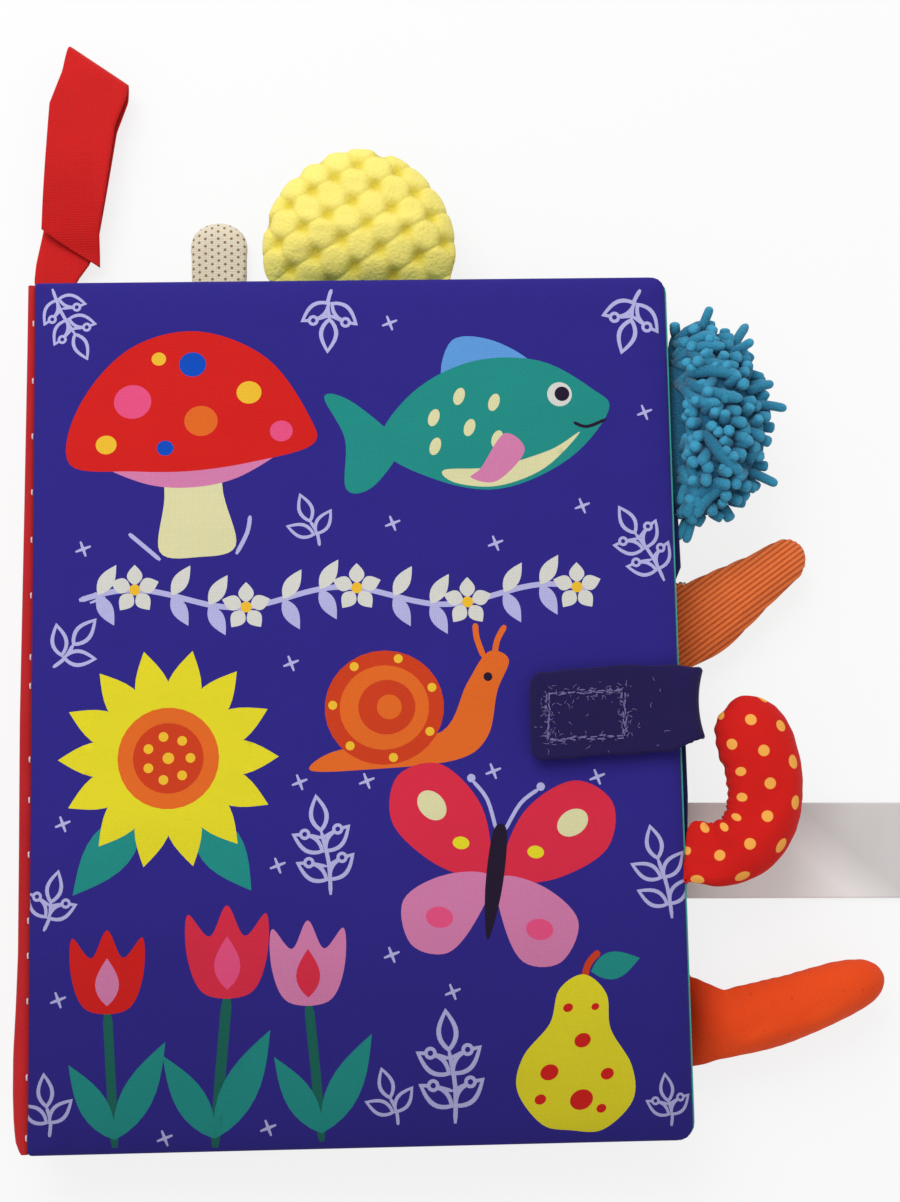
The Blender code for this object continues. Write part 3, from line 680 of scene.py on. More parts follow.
# %% Printed sheet
def printed_sheet(low_x, high_x, step, shapes):
    """Points, triangles and each triangle's shape number, for a leaf with the print's outlines in it."""
    outline = rounded_outline(low_x, high_x, 0.0, step)
    points = list(outline)
    faces = [list(range(len(outline)))]
    for _, spots in shapes:
        doubled_area = sum(a[0] * b[1] - b[0] * a[1] for a, b in zip(spots, spots[1:] + spots[:1]))
        faces.append(list(range(len(points), len(points) + len(spots))))
        points += spots if doubled_area > 0 else spots[::-1]
    for inset in (0.25, 0.8, 1.7, 3.2):
        points += rounded_outline(low_x, high_x, inset, step)
    for x in np.arange(low_x + 5, high_x - 4.5, step):
        for y in np.arange(5.0, PAGE_HEIGHT - 4.5, step):
            points.append((float(x), float(y)))
    found = delaunay_2d_cdt([Vector(p) for p in points], [], faces, 0, 1e-4, True)
    flat, triangles, owners = found[0], found[2], found[5]
    kept = [(tri, max(own)) for tri, own in zip(triangles, owners) if 0 in own]
    return np.array([tuple(p) for p in flat]), [tri for tri, _ in kept], [own for _, own in kept]


print("printed sheet ready")

# %% Leaf cloth
def leaf_cloth(
    name, number, side, ground, shapes, step, low_x=0.0, high_x=PAGE_WIDTH, slip=0.0, wave=0.1, phase=1.0
):
    """One cloth of a leaf. Number counts leaves from the front cover, and side is 1 above, -1 below."""
    flat, triangles, owners = printed_sheet(low_x, high_x, step, shapes)
    x, y = flat[:, 0], flat[:, 1]
    lift = leaf_lift(x, y, low_x, high_x)
    inside = np.minimum(np.maximum(edge_distance(x, y, low_x, high_x), 0) / 14, 1)
    aside = np.maximum(PRESSED_FROM - x, abs(y - STRAP_MIDDLE) - PRESSED_HALF)
    pressed = np.exp(-np.maximum(aside, 0) / PRESSED_FADE)
    outer = lift + wave * inside * (waves(x, y, phase) * (1 - 0.8 * pressed) - 0.3 * pressed)
    outer += 0.16 * puckers(x, y, high_x, phase)
    inner = np.maximum(lift - CLOTH, 0.04)
    outer = np.maximum(outer, inner + 0.06)
    slid = slip * np.interp(y, *zip(*PAGE_SLIP)) * np.clip((x - PAGE_WIDTH / 2) / 60, 0, 1)
    if low_x < 0:
        slid += np.maximum(-low_x - gusset_reach(y) + 1.15, 0) * np.clip(1 - (x - low_x) / 14, 0, 1)
    world_x, world_y = (x + slid - PAGE_WIDTH / 2) * MM, (y - PAGE_HEIGHT / 2) * MM
    heights = [(leaf_centre(number) + side * height) * MM for height in (outer, inner)]
    points = np.vstack([np.column_stack([world_x, world_y, height]) for height in heights])
    count = len(flat)
    outer_faces = [tri if side > 0 else tri[::-1] for tri in triangles]
    inner_faces = [[i + count for i in face[::-1]] for face in outer_faces]
    edges = [edge for face in outer_faces for edge in zip(face, face[1:] + face[:1])]
    known = set(edges)
    rim = [(b, a, a + count, b + count) for a, b in edges if (b, a) not in known]
    piece = make_piece(name, points, outer_faces + inner_faces + rim, printed_cotton)
    colours = [ground if own == 0 else shapes[own - 1][0] for own in owners]
    paint = piece.data.color_attributes.new("ink", "FLOAT_COLOR", "CORNER")
    values = []
    for face_colour, corners in [(c, 3) for c in colours] * 2 + [(ground, 4)] * len(rim):
        values += list(face_colour) * corners
    paint.data.foreach_set("color", values)
    print(name, len(piece.data.polygons), "faces")
    return piece


def sew_leaf(sheet, body, slot, panel):
    """Says which panel a cloth stands for."""
    dress(sheet, body, slot, f"{body}_{panel}")


print("leaf cloth ready")

# %% [markdown]
# ### Front cover
# The outer cloth is the printed one, and its teal lining shows as a thin line at the fore-edge,
# because the lining was cut a hair wider.

# %% Front cover
COVER_STEP, PAGE_STEP = 2.0, 4.5
LINING_EDGE = PAGE_WIDTH + 0.45

cover = leaf_cloth("front_cover_print", 0, 1, INDIGO, cover_print(), COVER_STEP, wave=0.45)
cover.data.materials[0] = cover_cotton_painted_shade
sew_leaf(cover, "front_cover", "printed_cotton", "outer_panel")

# The front lining's teal is lighter than the back lining's: painted light on an edge that lies in shade.
lining = leaf_cloth("front_cover_teal_lining", 0, -1, TEAL_PAINTED_LIGHT, [], PAGE_STEP, high_x=LINING_EDGE)
sew_leaf(lining, "front_cover", "lining_cotton", "lining")

# %% [markdown]
# ### Back cover
# The photograph doesn't show it, so it repeats the twigs and marks of the front on the same ground.

# %% Back cover
BACK_SPRIGS = ((30, 30), (88, 36), (146, 30), (30, 118), (146, 122), (30, 196), (88, 200), (146, 194))
BACK_CROSSES = ((58, 60), (118, 60), (58, 180), (118, 184), (14, 78), (162, 78), (14, 160), (162, 164))


def back_print():
    shapes = placed(sunflower(), 88, 124, 1.5)
    for number, (x, y) in enumerate(BACK_SPRIGS):
        shapes += placed(sprig(INDIGO, 2, number % 2 == 0), x, y - 10, 1.0, 12 * (-1) ** number)
    return shapes + crosses(BACK_CROSSES, 1.3)


lining = leaf_cloth("back_cover_teal_lining", 5, 1, TEAL, [], PAGE_STEP, phase=2.0)
sew_leaf(lining, "back_cover", "lining_cotton", "lining")
cover = leaf_cloth("back_cover_print", 5, -1, INDIGO, back_print(), PAGE_STEP, wave=0.0, phase=3.0)
sew_leaf(cover, "back_cover", "printed_cotton", "outer_panel")

# %% [markdown]
# ### Inner pages
# Facing pages share a ground, as in most such books, and each holds one large figure. The first page
# slips out a little past the cover, where its deep blue edge shows beside the strap.

# %% Inner pages
PAGE_LEFT = -2.3
FIRST_PAGE_SLIP = 2.7
PAGE_GROUNDS = ((INDIGO_DEEP, SKY), (SKY, AMBER), (AMBER, TEAL), (TEAL, INDIGO_DEEP))
PAGE_FIGURES = (
    (butterfly(), toadstool()),
    (fish(), snail()),
    (tulip(CRIMSON, ROSE, 3), sunflower()),
    (pear(), fish()),
)

for page, grounds, figures in zip(range(1, 5), PAGE_GROUNDS, PAGE_FIGURES):
    slip = FIRST_PAGE_SLIP if page == 1 else 0.0
    for side, which, ground, figure in zip((1, -1), ("front", "back"), grounds, figures):
        name, shapes = f"page_{page}_{which}_cloth", page_print(figure, ground)
        looks = (name, page, side, ground, shapes, PAGE_STEP, PAGE_LEFT)
        sheet = leaf_cloth(*looks, slip=slip, phase=page + side)
        sew_leaf(sheet, f"page_{page}", "page_cotton", f"{which}_panel")

# %% [markdown]
# ## What fills the leaves
# Each leaf hides a sheet of polyester wadding and a film that crackles. They stay the CAD solids and
# get their own finishes: matted white fibre, and a clear glossy film with crumpled facets.

# %% Fillings
def matted_fibre():
    material, tree, shader = new_skin("polyester wadding", 0.95, 0.4)
    fibre = noise(tree, put(tree, "TexCoord").outputs["Object"], 900.0, 6.0, 1.5)
    tone = mix_colours(tree, fibre, ink(208, 206, 200), ink(240, 239, 236))
    colour_and_bump(tree, shader, tone, fibre, 0.8, 0.0006)
    return material


def crackling_film():
    material, tree, shader = new_skin("crinkle film", 0.22, 0.0, 0.5)
    wires = {"Vector": put(tree, "TexCoord").outputs["Object"], "Scale": 140.0}
    facets = put(tree, "TexVoronoi", wires, feature="F1").outputs["Distance"]
    tone = mix_colours(tree, facets, ink(196, 204, 214), ink(232, 236, 240))
    colour_and_bump(tree, shader, tone, facets, 0.9, 0.001)
    return material


wadding, film = matted_fibre(), crackling_film()
for name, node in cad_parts.items():
    if name.endswith("_wadding") or name.endswith("_film"):
        node.data.materials.clear()
        node.data.materials.append(wadding if name.endswith("_wadding") else film)
print("wadding and film finished")

# %% [markdown]
# ## Stuffed tails
# A stuffed tail is two cloths sewn along both sides and turned out, then filled. It starts as rings
# along a bent line, shrunk a little, and Blender's Cloth blows it up for a moment so that it rounds
# out as filling does. How far a point may move is capped. The seam is pulled in afterwards, with small
# folds beside it. Each ring point keeps how far along and across the tail it lies, and patterns follow
# these two lengths.

# %% Tail form
HOOK = (
    (0.00, 0.00, 0.95, 0.06), (0.10, -0.02, 0.92, 0.42), (0.28, -0.03, 0.88, 0.74), (0.50, 0.03, 0.92, 0.95),
    (0.64, 0.18, 0.96, 1.00), (0.68, 0.36, 0.99, 1.00), (0.66, 0.53, 1.02, 1.00), (0.59, 0.70, 1.04, 0.94),
    (0.53, 0.82, 0.88, 0.78), (0.49, 0.905, 0.56, 0.50), (0.46, 0.945, 0.14, 0.14),
)
BALL = (
    (0.00, 0.00, 0.93, 0.06), (0.06, 0.00, 0.96, 0.36), (0.16, 0.00, 0.99, 0.66), (0.30, 0.00, 1.00, 0.90),
    (0.48, 0.00, 0.96, 1.00), (0.66, 0.00, 0.84, 0.94), (0.81, 0.00, 0.66, 0.78), (0.92, 0.00, 0.45, 0.55),
    (0.98, 0.00, 0.25, 0.32), (1.00, 0.00, 0.08, 0.12),
)
TAPER = (
    (0.00, -0.25, 1.11, 0.06), (0.06, -0.29, 1.05, 0.38), (0.14, -0.33, 0.88, 0.66),
    (0.24, -0.29, 0.75, 0.88), (0.42, 0.11, 0.72, 1.00), (0.60, 0.65, 0.67, 1.00), (0.78, 1.31, 0.62, 0.96),
    (0.90, 1.67, 0.51, 0.78), (0.97, 1.78, 0.33, 0.46), (1.00, 1.82, 0.10, 0.16),
)
CURL = (
    (0.00, 0.00, 1.00, 0.06), (0.08, 0.01, 0.98, 0.42), (0.24, 0.09, 0.86, 0.80), (0.42, 0.32, 0.74, 1.00),
    (0.58, 0.53, 0.63, 1.00), (0.74, 0.74, 0.53, 0.96), (0.88, 0.93, 0.48, 0.80), (0.96, 1.00, 0.36, 0.50),
    (1.01, 1.03, 0.12, 0.16),
)
STUB = (
    (0.00, 0.00, 0.90, 0.15), (0.08, 0.00, 0.92, 0.60), (0.35, 0.00, 1.00, 1.00), (0.62, 0.00, 1.01, 1.00),
    (0.82, 0.00, 0.93, 0.90), (0.94, 0.00, 0.66, 0.60), (1.00, 0.00, 0.24, 0.20),
)
print("five tail profiles")

# %% Tail tube
RINGS_PER_MM, SIDES = 0.9, 48


def tail_line(root, out, along, size, shares):
    """Rows of (x, y, half width, half height) in millimetres, from the seam to the tip."""
    reach, rise, half_width, half_height = size
    rows = []
    for run, up, wide, high in shares:
        x, y = (root[k] + reach * run * out[k] + rise * up * along[k] for k in (0, 1))
        rows.append((x, y, wide * half_width, high * half_height))
    return np.array(smooth_run(rows, 8))


def even_rows(rows, count):
    """The same line with its rows at even distances."""
    lengths = np.concatenate([[0], np.cumsum(np.hypot(*np.diff(rows[:, :2], axis=0).T))])
    places = np.linspace(0, lengths[-1], count)
    return np.column_stack([np.interp(places, lengths, rows[:, k]) for k in range(4)]), places


def tail_tube(name, line, out, centre, fineness):
    """A closed tube over the line, and its first ring. Each point keeps its place along and across."""
    length = np.hypot(*np.diff(line[:, :2], axis=0).T).sum()
    rings = int(length * RINGS_PER_MM * fineness)
    sides = int(SIDES * fineness) // 4 * 4
    rows, along = even_rows(line, rings)
    angles = 2 * np.pi * np.arange(sides) / sides
    points, marks = [], []
    for index, (x, y, wide, high) in enumerate(rows):
        ahead = way_at(rows[:, :2], index)
        ahead = np.array(out, float) if index == 0 else ahead / np.hypot(*ahead)
        across = np.array((-ahead[1], ahead[0]))
        ring = np.column_stack([wide * np.cos(angles), high * np.sin(angles)])
        steps = np.hypot(*(np.roll(ring, -1, axis=0) - ring).T)
        arc = np.concatenate([[0], np.cumsum(steps)[:-1]])
        quarter = steps.sum() / 4
        for (a, b), run in zip(ring, arc):
            spot = np.array((x, y)) + a * across
            points.append((spot[0] * MM, spot[1] * MM, (centre + b) * MM))
            run = run if run <= 2 * quarter else 4 * quarter - run
            marks.append((along[index] * MM, (quarter - run) * MM, quarter * MM))
    faces = ring_faces(rings, sides)
    for start, ring in ((0, points[:sides]), ((rings - 1) * sides, points[-sides:])):
        points.append(tuple(np.mean(ring, axis=0)))
        marks.append((marks[start][0], 0.0, marks[start][2]))
        middle = len(points) - 1
        for side in range(sides):
            a, b = start + side, start + (side + 1) % sides
            faces.append((b, a, middle) if start == 0 else (a, b, middle))
    piece = make_piece(name, points, faces, printed_cotton)
    for label, values in zip(("along", "across", "quarter"), zip(*marks)):
        piece.data.attributes.new(label, "FLOAT", "POINT").data.foreach_set("value", values)
    return piece, list(range(sides))


print("tail tube ready")

# %% [markdown]
# ### Filling and seaming
# `plump` is the short cloth simulation, and `tuck_seams` pulls the two side seams in.

# %% Filling
FILLING_FRAMES = 20


def read_rows(items, label):
    """The three numbers of every item, as rows."""
    flat = np.empty(len(items) * 3)
    items.foreach_get(label, flat)
    return flat.reshape(-1, 3)


def read_points(piece):
    return read_rows(piece.data.vertices, "co")


def read_normals(piece):
    return read_rows(piece.data.vertex_normals, "vector")


def read_mark(piece, label):
    values = np.empty(len(piece.data.vertices))
    piece.data.attributes[label].data.foreach_get("value", values)
    return values


def write_points(piece, points):
    piece.data.vertices.foreach_set("co", points.ravel())
    piece.data.update()


def plump(piece, sewn, cap):
    """Blows the closed cloth up a little, holding its sewn ring, and caps how far a point moves."""
    before = read_points(piece)
    group = piece.vertex_groups.new(name="sewn")
    group.add(sewn, 1.0, "REPLACE")
    filling = piece.modifiers.new("filling", "CLOTH")
    filling.settings.quality = 5
    filling.settings.mass = 0.1
    filling.settings.use_pressure = True
    filling.settings.uniform_pressure_force = 4.0
    filling.settings.vertex_group_mass = "sewn"
    filling.settings.shrink_min = -0.04
    filling.settings.effector_weights.gravity = 0.0
    scene = bpy.context.scene
    for number in range(1, FILLING_FRAMES + 1):
        scene.frame_set(number)
    blown = piece.evaluated_get(bpy.context.evaluated_depsgraph_get())
    move = read_rows(blown.to_mesh().vertices, "co") - before
    blown.to_mesh_clear()
    piece.modifiers.remove(filling)
    piece.vertex_groups.clear()
    scene.frame_set(1)
    size = np.linalg.norm(move, axis=1, keepdims=True)
    write_points(piece, before + move * np.minimum(1, cap / np.maximum(size, 1e-9)))
    evener = piece.modifiers.new("evener", "SMOOTH")
    evener.iterations = 6
    apply_modifiers(piece)
    print(piece.name, "moved up to", round(float(size.max()) / MM, 2), "mm, capped at", cap / MM)


print("filling ready")

# %% Seams and halves
def finer(piece):
    rounder = piece.modifiers.new("rounder", "SUBSURF")
    rounder.levels = rounder.render_levels = 1
    apply_modifiers(piece)


def tuck_seams(piece, depth, folds, outer_share=1.0):
    """Draws both side seams in, and raises small folds beside them, fewer along the outer side."""
    points, normals = read_points(piece), read_normals(piece)
    along, across, quarter = (read_mark(piece, label) for label in ("along", "across", "quarter"))
    beside = quarter - abs(across)
    groove = -depth * np.exp(-((beside / 0.0007) ** 2))
    wrinkle = np.sin(along / 0.00062 + 2 * np.sin(along / 0.0045)) + 0.7 * np.sin(along / 0.0014 + 1)
    wrinkle *= folds * np.exp(-((beside - 0.0012) / 0.0022) ** 2) * np.where(across > 0, 1.0, outer_share)
    falloff = np.clip((quarter - 0.003) / 0.004, 0, 1) * np.clip(along / 0.004, 0, 1)
    write_points(piece, points + normals * ((groove + wrinkle) * falloff)[:, None])


def lay_marks(piece):
    """A UV map in metres: along the tail and across it."""
    layer = piece.data.uv_layers.new(name="cloth")
    along, across = read_mark(piece, "along"), read_mark(piece, "across")
    corners = np.empty(len(piece.data.loops), int)
    piece.data.loops.foreach_get("vertex_index", corners)
    layer.data.foreach_set("uv", np.column_stack([along[corners], across[corners]]).ravel())


def split_halves(piece, centre, names, materials, wall):
    """Cuts the closed tail at its seams into a front and a back cloth, each with a thickness."""
    halves = []
    centres = np.array([tuple(face.center) for face in piece.data.polygons])[:, 2]
    for name, material, side in zip(names, materials, (1, -1)):
        half = piece.copy()
        half.data = piece.data.copy()
        half.name = half.data.name = name
        bpy.context.scene.collection.objects.link(half)
        half.data.materials.clear()
        half.data.materials.append(material)
        body = bmesh.new()
        body.from_mesh(half.data)
        body.faces.ensure_lookup_table()
        gone = [body.faces[i] for i in np.flatnonzero((centres - centre * MM) * side < 0)]
        bmesh.ops.delete(body, geom=gone, context="FACES")
        body.to_mesh(half.data)
        body.free()
        thick = half.modifiers.new("cloth", "SOLIDIFY")
        thick.thickness = wall
        thick.offset = -1
        apply_modifiers(half)
        halves.append(half)
    bpy.data.objects.remove(piece, do_unlink=True)
    return halves


print("seams and halves ready")

# %% [markdown]
# ### Tail fabrics
# Polka dots sit on a staggered grid of the two lengths. Corduroy has raised wales, plush has pits
# between soft mounds, and chenille is pile: all three get painted shade in the hollows and a painted
# highlight on the crests.

# %% Dotted cloth
def dye_and_shade_over(material, share, dye):
    """Lays a second colour over a cloth's own, as strong as the share: dye for dots and flecks, painted shade
    at the orange finger's root.
    """
    tree = material.node_tree
    base = tree.nodes["Principled BSDF"].inputs["Base Color"]
    tree.links.new(mix_colours(tree, share, base.links[0].from_socket, dye), base)


def dotted(name, ground, ground_low, dot, pitch, radius, weave=0.0005):
    """A staggered grid of round dots over a woven ground, placed by the cloth's own UV map."""
    material = cloth(name, ground, ground_low, pitch=weave, roughness=0.8, sheen=0.05, on_surface=True)
    tree = material.node_tree
    parts = put(tree, "SeparateXYZ", {0: put(tree, "TexCoord").outputs["UV"]})
    grids = []
    for shift in (0.0, 0.5):
        squares = []
        for axis, step in ((0, pitch), (1, pitch * 1.7)):
            cell = math_node(tree, "DIVIDE", parts.outputs[axis], step)
            cell = math_node(tree, "ADD", cell, 100.0 + shift)
            cell = math_node(tree, "SUBTRACT", math_node(tree, "FRACT", cell), 0.5)
            offset = math_node(tree, "MULTIPLY", cell, step)
            squares.append(math_node(tree, "MULTIPLY", offset, offset))
        grids.append(math_node(tree, "SQRT", math_node(tree, "ADD", *squares)))
    nearest = math_node(tree, "MINIMUM", *grids)
    dye_and_shade_over(material, ranged(tree, nearest, radius * 0.93, radius * 1.07, 1.0, 0.0), dot)
    return material


SCARLET, SCARLET_LOW, APRICOT = ink(224, 30, 22), ink(202, 20, 18), ink(250, 176, 78)
NATURAL, NATURAL_LOW, BROWN = ink(240, 231, 212), ink(218, 202, 176), ink(140, 118, 86)
spotted_cotton = dotted("spotted red cotton", SCARLET, SCARLET_LOW, APRICOT, 0.0086, 0.00148)
natural_cotton = dotted("natural dotted cotton", NATURAL, NATURAL_LOW, BROWN, 0.0022, 0.00042, 0.0007)
orange_cotton = cloth("orange cotton", ink(250, 88, 28), ink(228, 62, 18), roughness=0.8, on_surface=True)
tree = orange_cotton.node_tree
on_cloth = put(tree, "TexCoord").outputs["UV"]
along_tail = put(tree, "SeparateXYZ", {0: on_cloth}).outputs[0]
# Painted shade: the orange finger is darker over its first 13 mm from the seam, where it turns down.
dye_and_shade_over(orange_cotton, ranged(tree, along_tail, 0.0, 0.013, 0.75, 0.0), ink(190, 40, 10))
flecks = noise(tree, on_cloth, 420.0, 1.0)
dye_and_shade_over(orange_cotton, ranged(tree, flecks, 0.7, 0.76, 0.0, 0.5), ink(200, 60, 20))
print("dotted and orange cloths")

# %% Pile cloths
def pile(name, lit_crest, shaded_hollow, sheen=0.2, grain=1500.0, strength=0.7, depth=0.0005):
    """Short pile: painted shade in its hollows and a painted highlight on its crests. The mesh carries the
    depth as an attribute.
    """
    material, tree, shader = new_skin(name, 0.95, sheen)
    fuzz = noise(tree, put(tree, "TexCoord").outputs["Object"], grain, 3.0)
    raised = put(tree, "Attribute", attribute_name="raised").outputs["Fac"]
    parts = [math_node(tree, "MULTIPLY", fuzz, 0.45), math_node(tree, "MULTIPLY", raised, 0.75)]
    tone = mix_colours(tree, math_node(tree, "ADD", *parts), shaded_hollow, lit_crest)
    colour_and_bump(tree, shader, tone, fuzz, strength, depth)
    return material


# How lit each point of pile is painted: 0 is painted shade, 1 a painted highlight.
def mark_painted_light(piece, values):
    mark = piece.data.attributes.new("raised", "FLOAT", "POINT")
    mark.data.foreach_set("value", np.clip(values, 0, 1))


# Each pile gets a lit crest colour and a shaded hollow colour. The chenille's hollow is painted deep, as the
# shade between its worms.
dimple_plush = pile("yellow dimple plush", ink(250, 234, 124), ink(216, 194, 40), grain=1100.0)
chenille = pile("blue chenille", ink(68, 170, 208), ink(4, 58, 96), grain=1900.0, strength=1.0)
corduroy = pile("rust corduroy", ink(250, 128, 66), ink(140, 34, 10), sheen=0.1, grain=2600.0, depth=0.0003)
print("three pile cloths")

# %% [markdown]
# ### The plain tails
# The red spotted hook comes out of the front cover and curls up, the orange finger points up and out,
# and the natural stub stands at the top edge. All are smooth cotton.

# %% Spotted, orange and dotted tails
FORE, TOP = (1.0, 0.0), (0.0, 1.0)
SEAM_X, SEAM_TOP = 87.8, 117.8
TAIL_WALL, STUB_WALL = 0.0007, 0.0004


def fore_seam(up_page):
    """A tail's root at the fore-edge, from its height up the page."""
    return SEAM_X, up_page - PAGE_HEIGHT / 2


def top_seam(along_page):
    """A tail's root at the top edge, from its distance off the spine."""
    return along_page - PAGE_WIDTH / 2, SEAM_TOP


def stuffed_tail(name, root, out, along, size, shares, number, cap, fineness=1.0):
    """A filled closed tail at its leaf's height, before its seams and fabrics."""
    line = tail_line(root, out, along, size, shares)
    piece, sewn = tail_tube(name, line, out, leaf_centre(number), fineness)
    plump(piece, sewn, cap)
    finer(piece)
    return piece


def finish_tail(piece, number, body, materials, slots, wall=TAIL_WALL):
    """Cuts a tail in its two cloths, and says what each stands for. The front one is the stuffing too."""
    lay_marks(piece)
    names = [f"{piece.name}_{which}" for which in ("front", "back")]
    halves = split_halves(piece, leaf_centre(number), names, materials, wall)
    nodes = ((f"{body}_front", f"{body}_stuffing"), (f"{body}_back",))
    for half, slot, replaced in zip(halves, slots, nodes):
        dress(half, body, slot, *replaced)


HOOK_SIZE = (33.0, 42.0, 9.7, 7.6)
tail = stuffed_tail("spotted_hook", fore_seam(76.0), FORE, TOP, HOOK_SIZE, HOOK, 0, 0.0012)
tuck_seams(tail, 0.0006, 0.0002, 0.25)
finish_tail(tail, 0, "spotted_tail", (spotted_cotton,) * 2, ("spotted_cotton",) * 2)

FINGER_SIZE = (55.6, 5.5, 12.0, 7.6)
tail = stuffed_tail("orange_finger", fore_seam(30.5), FORE, TOP, FINGER_SIZE, TAPER, 3, 0.0010)
tuck_seams(tail, 0.0004, 0.00006, 0.4)
finish_tail(tail, 3, "orange_tail", (orange_cotton,) * 2, ("orange_cotton",) * 2)

STUB_SIZE = (25.0, 0.0, 8.4, 2.1)
tail = stuffed_tail("natural_stub", top_seam(48.7), TOP, FORE, STUB_SIZE, STUB, 5, 0.0004)
tuck_seams(tail, 0.0002, 0.00005)
finish_tail(tail, 5, "dotted_tail", (natural_cotton,) * 2, ("dotted_cotton",) * 2, STUB_WALL)
print("plain tails stuffed")

# %% [markdown]
# ### The corduroy tail
# Its front is corduroy with wales about 1.4 mm apart that run up and outwards, and its back is
# the natural dotted cotton. The wales are real ridges, so the edge of the tail shows them.

# %% Corduroy tail
WALE, WALE_LEAN, WALE_DEPTH = 0.00138, math.radians(35), 0.0003
CURL_SIZE = (40.0, 19.5, 13.0, 5.9)


def front_share(places, number, below, rise):
    """How far each point lies on the front cloth, from 0 to 1."""
    return np.clip((places[:, 2] - leaf_centre(number) * MM + below) / rise, 0, 1)


tail = stuffed_tail("corduroy_finger", fore_seam(138.5), FORE, TOP, CURL_SIZE, CURL, 4, 0.0008, 1.7)
finer(tail)
tuck_seams(tail, 0.0004, 0.0)
places, outward = read_points(tail), read_normals(tail)
lane = places[:, 1] * math.cos(WALE_LEAN) - places[:, 0] * math.sin(WALE_LEAN)
ridge = np.abs(np.sin(np.pi * lane / WALE)) ** 0.8
front = front_share(places, 4, 0.0, 0.0006) * np.clip((read_mark(tail, "quarter") - 0.002) / 0.003, 0, 1)
write_points(tail, places + outward * (WALE_DEPTH * front * (ridge - 0.6))[:, None])
# Painted highlight on the crests of the wales, painted shade in the grooves between them.
mark_painted_light(tail, ridge)
finish_tail(tail, 4, "corduroy_tail", (corduroy, natural_cotton), ("corduroy", "dotted_cotton"))

# %% [markdown]
# ### The plush tail
# Dimple plush is pressed in small pits on a slanting square grid, 8 mm apart, and the pile swells in
# soft mounds between them, with faint creases from pit to pit. A little wander keeps them from
# looking ruled. Its back is the natural dotted cotton.

# %% Plush tail
PIT_PITCH, PIT_TURN, PIT_RADIUS = 0.0081, math.radians(31), 0.0019
PIT_DEPTH, MOUND_HEIGHT, WANDER = 0.0013, 0.00055, 0.0007
PLUSH_SIZE = (39.6, 0.0, 26.3, 10.2)

tail = stuffed_tail("plush_ball", top_seam(89.7), TOP, FORE, PLUSH_SIZE, BALL, 2, 0.0010, 1.6)
finer(tail)
places, outward = read_points(tail), read_normals(tail)
side = places[:, 0] + WANDER * np.sin(places[:, 1] / 0.0061 + 1)
up = places[:, 1] + WANDER * np.cos(places[:, 0] / 0.0073)
offsets = []
for first, second in ((side, up), (up, -side)):
    steps = (first * math.cos(PIT_TURN) + second * math.sin(PIT_TURN)) / PIT_PITCH
    offsets.append((steps - np.round(steps)) * PIT_PITCH)
pits = np.exp(-(offsets[0] ** 2 + offsets[1] ** 2) / PIT_RADIUS**2)
mounds = np.tanh(3.4 * np.prod([np.sin(np.pi * abs(offset) / PIT_PITCH) for offset in offsets], axis=0))
front = front_share(places, 2, 0.0012, 0.0028) * np.clip(read_mark(tail, "quarter") / 0.006, 0, 1)
write_points(tail, places + outward * (front * (MOUND_HEIGHT * mounds - PIT_DEPTH * pits))[:, None])
# Painted shade in the pits, lighter on the mounds.
mark_painted_light(tail, 0.75 + 0.25 * mounds - 0.95 * pits)
finish_tail(tail, 2, "plush_tail", (dimple_plush, natural_cotton), ("plush", "dotted_cotton"))

# %% [markdown]
# ### The chenille tail
# Its front is covered in soft chenille worms about 3.3 mm thick. Long ones lie along the ball from
# the seam, short ones stand up as knobs beyond them, and a few stick out at the rim. Each is a bent
# tube with a round tip, put at a seeded place. Those beside the cover's edge stand a little further
# out, so that they stay clear of it when the tail bends up by 25 degrees.

# %% One worm
WORM_SIDES = 8
WORM_SHARES = (0.0, 0.22, 0.45, 0.68, 0.85, 0.93, 0.98, 1.0)
WORM_GIRTHS = (0.9, 1.0, 1.03, 1.0, 0.98, 0.84, 0.56, 0.16)


def worm_tube(middles, ups, radius):
    return tube(middles, ups, [radius * girth for girth in WORM_GIRTHS], WORM_SIDES)


def lying_worm(start, way, length, radius, bend):
    """A worm led over the ball, its tip lifted a little."""
    sideways = Vector((-way.y, way.x, 0))
    middles, ups = [], []
    for share in WORM_SHARES:
        flat = start + way * (length * share) + sideways * (bend * length * math.sin(math.pi * share))
        place, normal, _, _ = ball.find_nearest(flat)
        middles.append(place + normal * (radius * (0.5 + 0.9 * share * share)))
        ups.append(normal)
    return worm_tube(middles, ups, radius)


def standing_worm(start, normal, lean, length, radius, droop):
    """A worm that stands out of the ball and droops towards its tip."""
    way = (normal + lean).normalized()
    side = way.cross(Vector((0.3, 0.2, 0.9))).normalized()
    middles = []
    for share in WORM_SHARES:
        middles.append(start + way * (length * (share - 0.15)) + droop * (length * share * share))
    return worm_tube(middles, [side] * len(middles), radius)


print("worm shapes ready")

# %% Chenille tail
CHENILLE_SIZE = (25.3, 0.0, 26.2, 8.2)
CHENILLE_REACH, CHENILLE_HALF = 0.0253, 0.0262
WORM_SPACING, LONG_WORM_RADIUS = 0.0025, 0.00135
WORM_LIFT = math.tan(math.radians(25))
CLEAR_X, CLEAR_Z = 0.0888, 0.0235
DOME_FROM = 0.0902


def cover_side(height):
    """How near to the cover a worm's point may be, for the cover to clear it at the tail's limit."""
    return CLEAR_X + WORM_LIFT * max(0.0, height - CLEAR_Z)


root_x, root_y = fore_seam(194.5)
tail = stuffed_tail("chenille_ball", (root_x, root_y), FORE, TOP, CHENILLE_SIZE, BALL, 1, 0.0008)
corners = tail.data.vertices
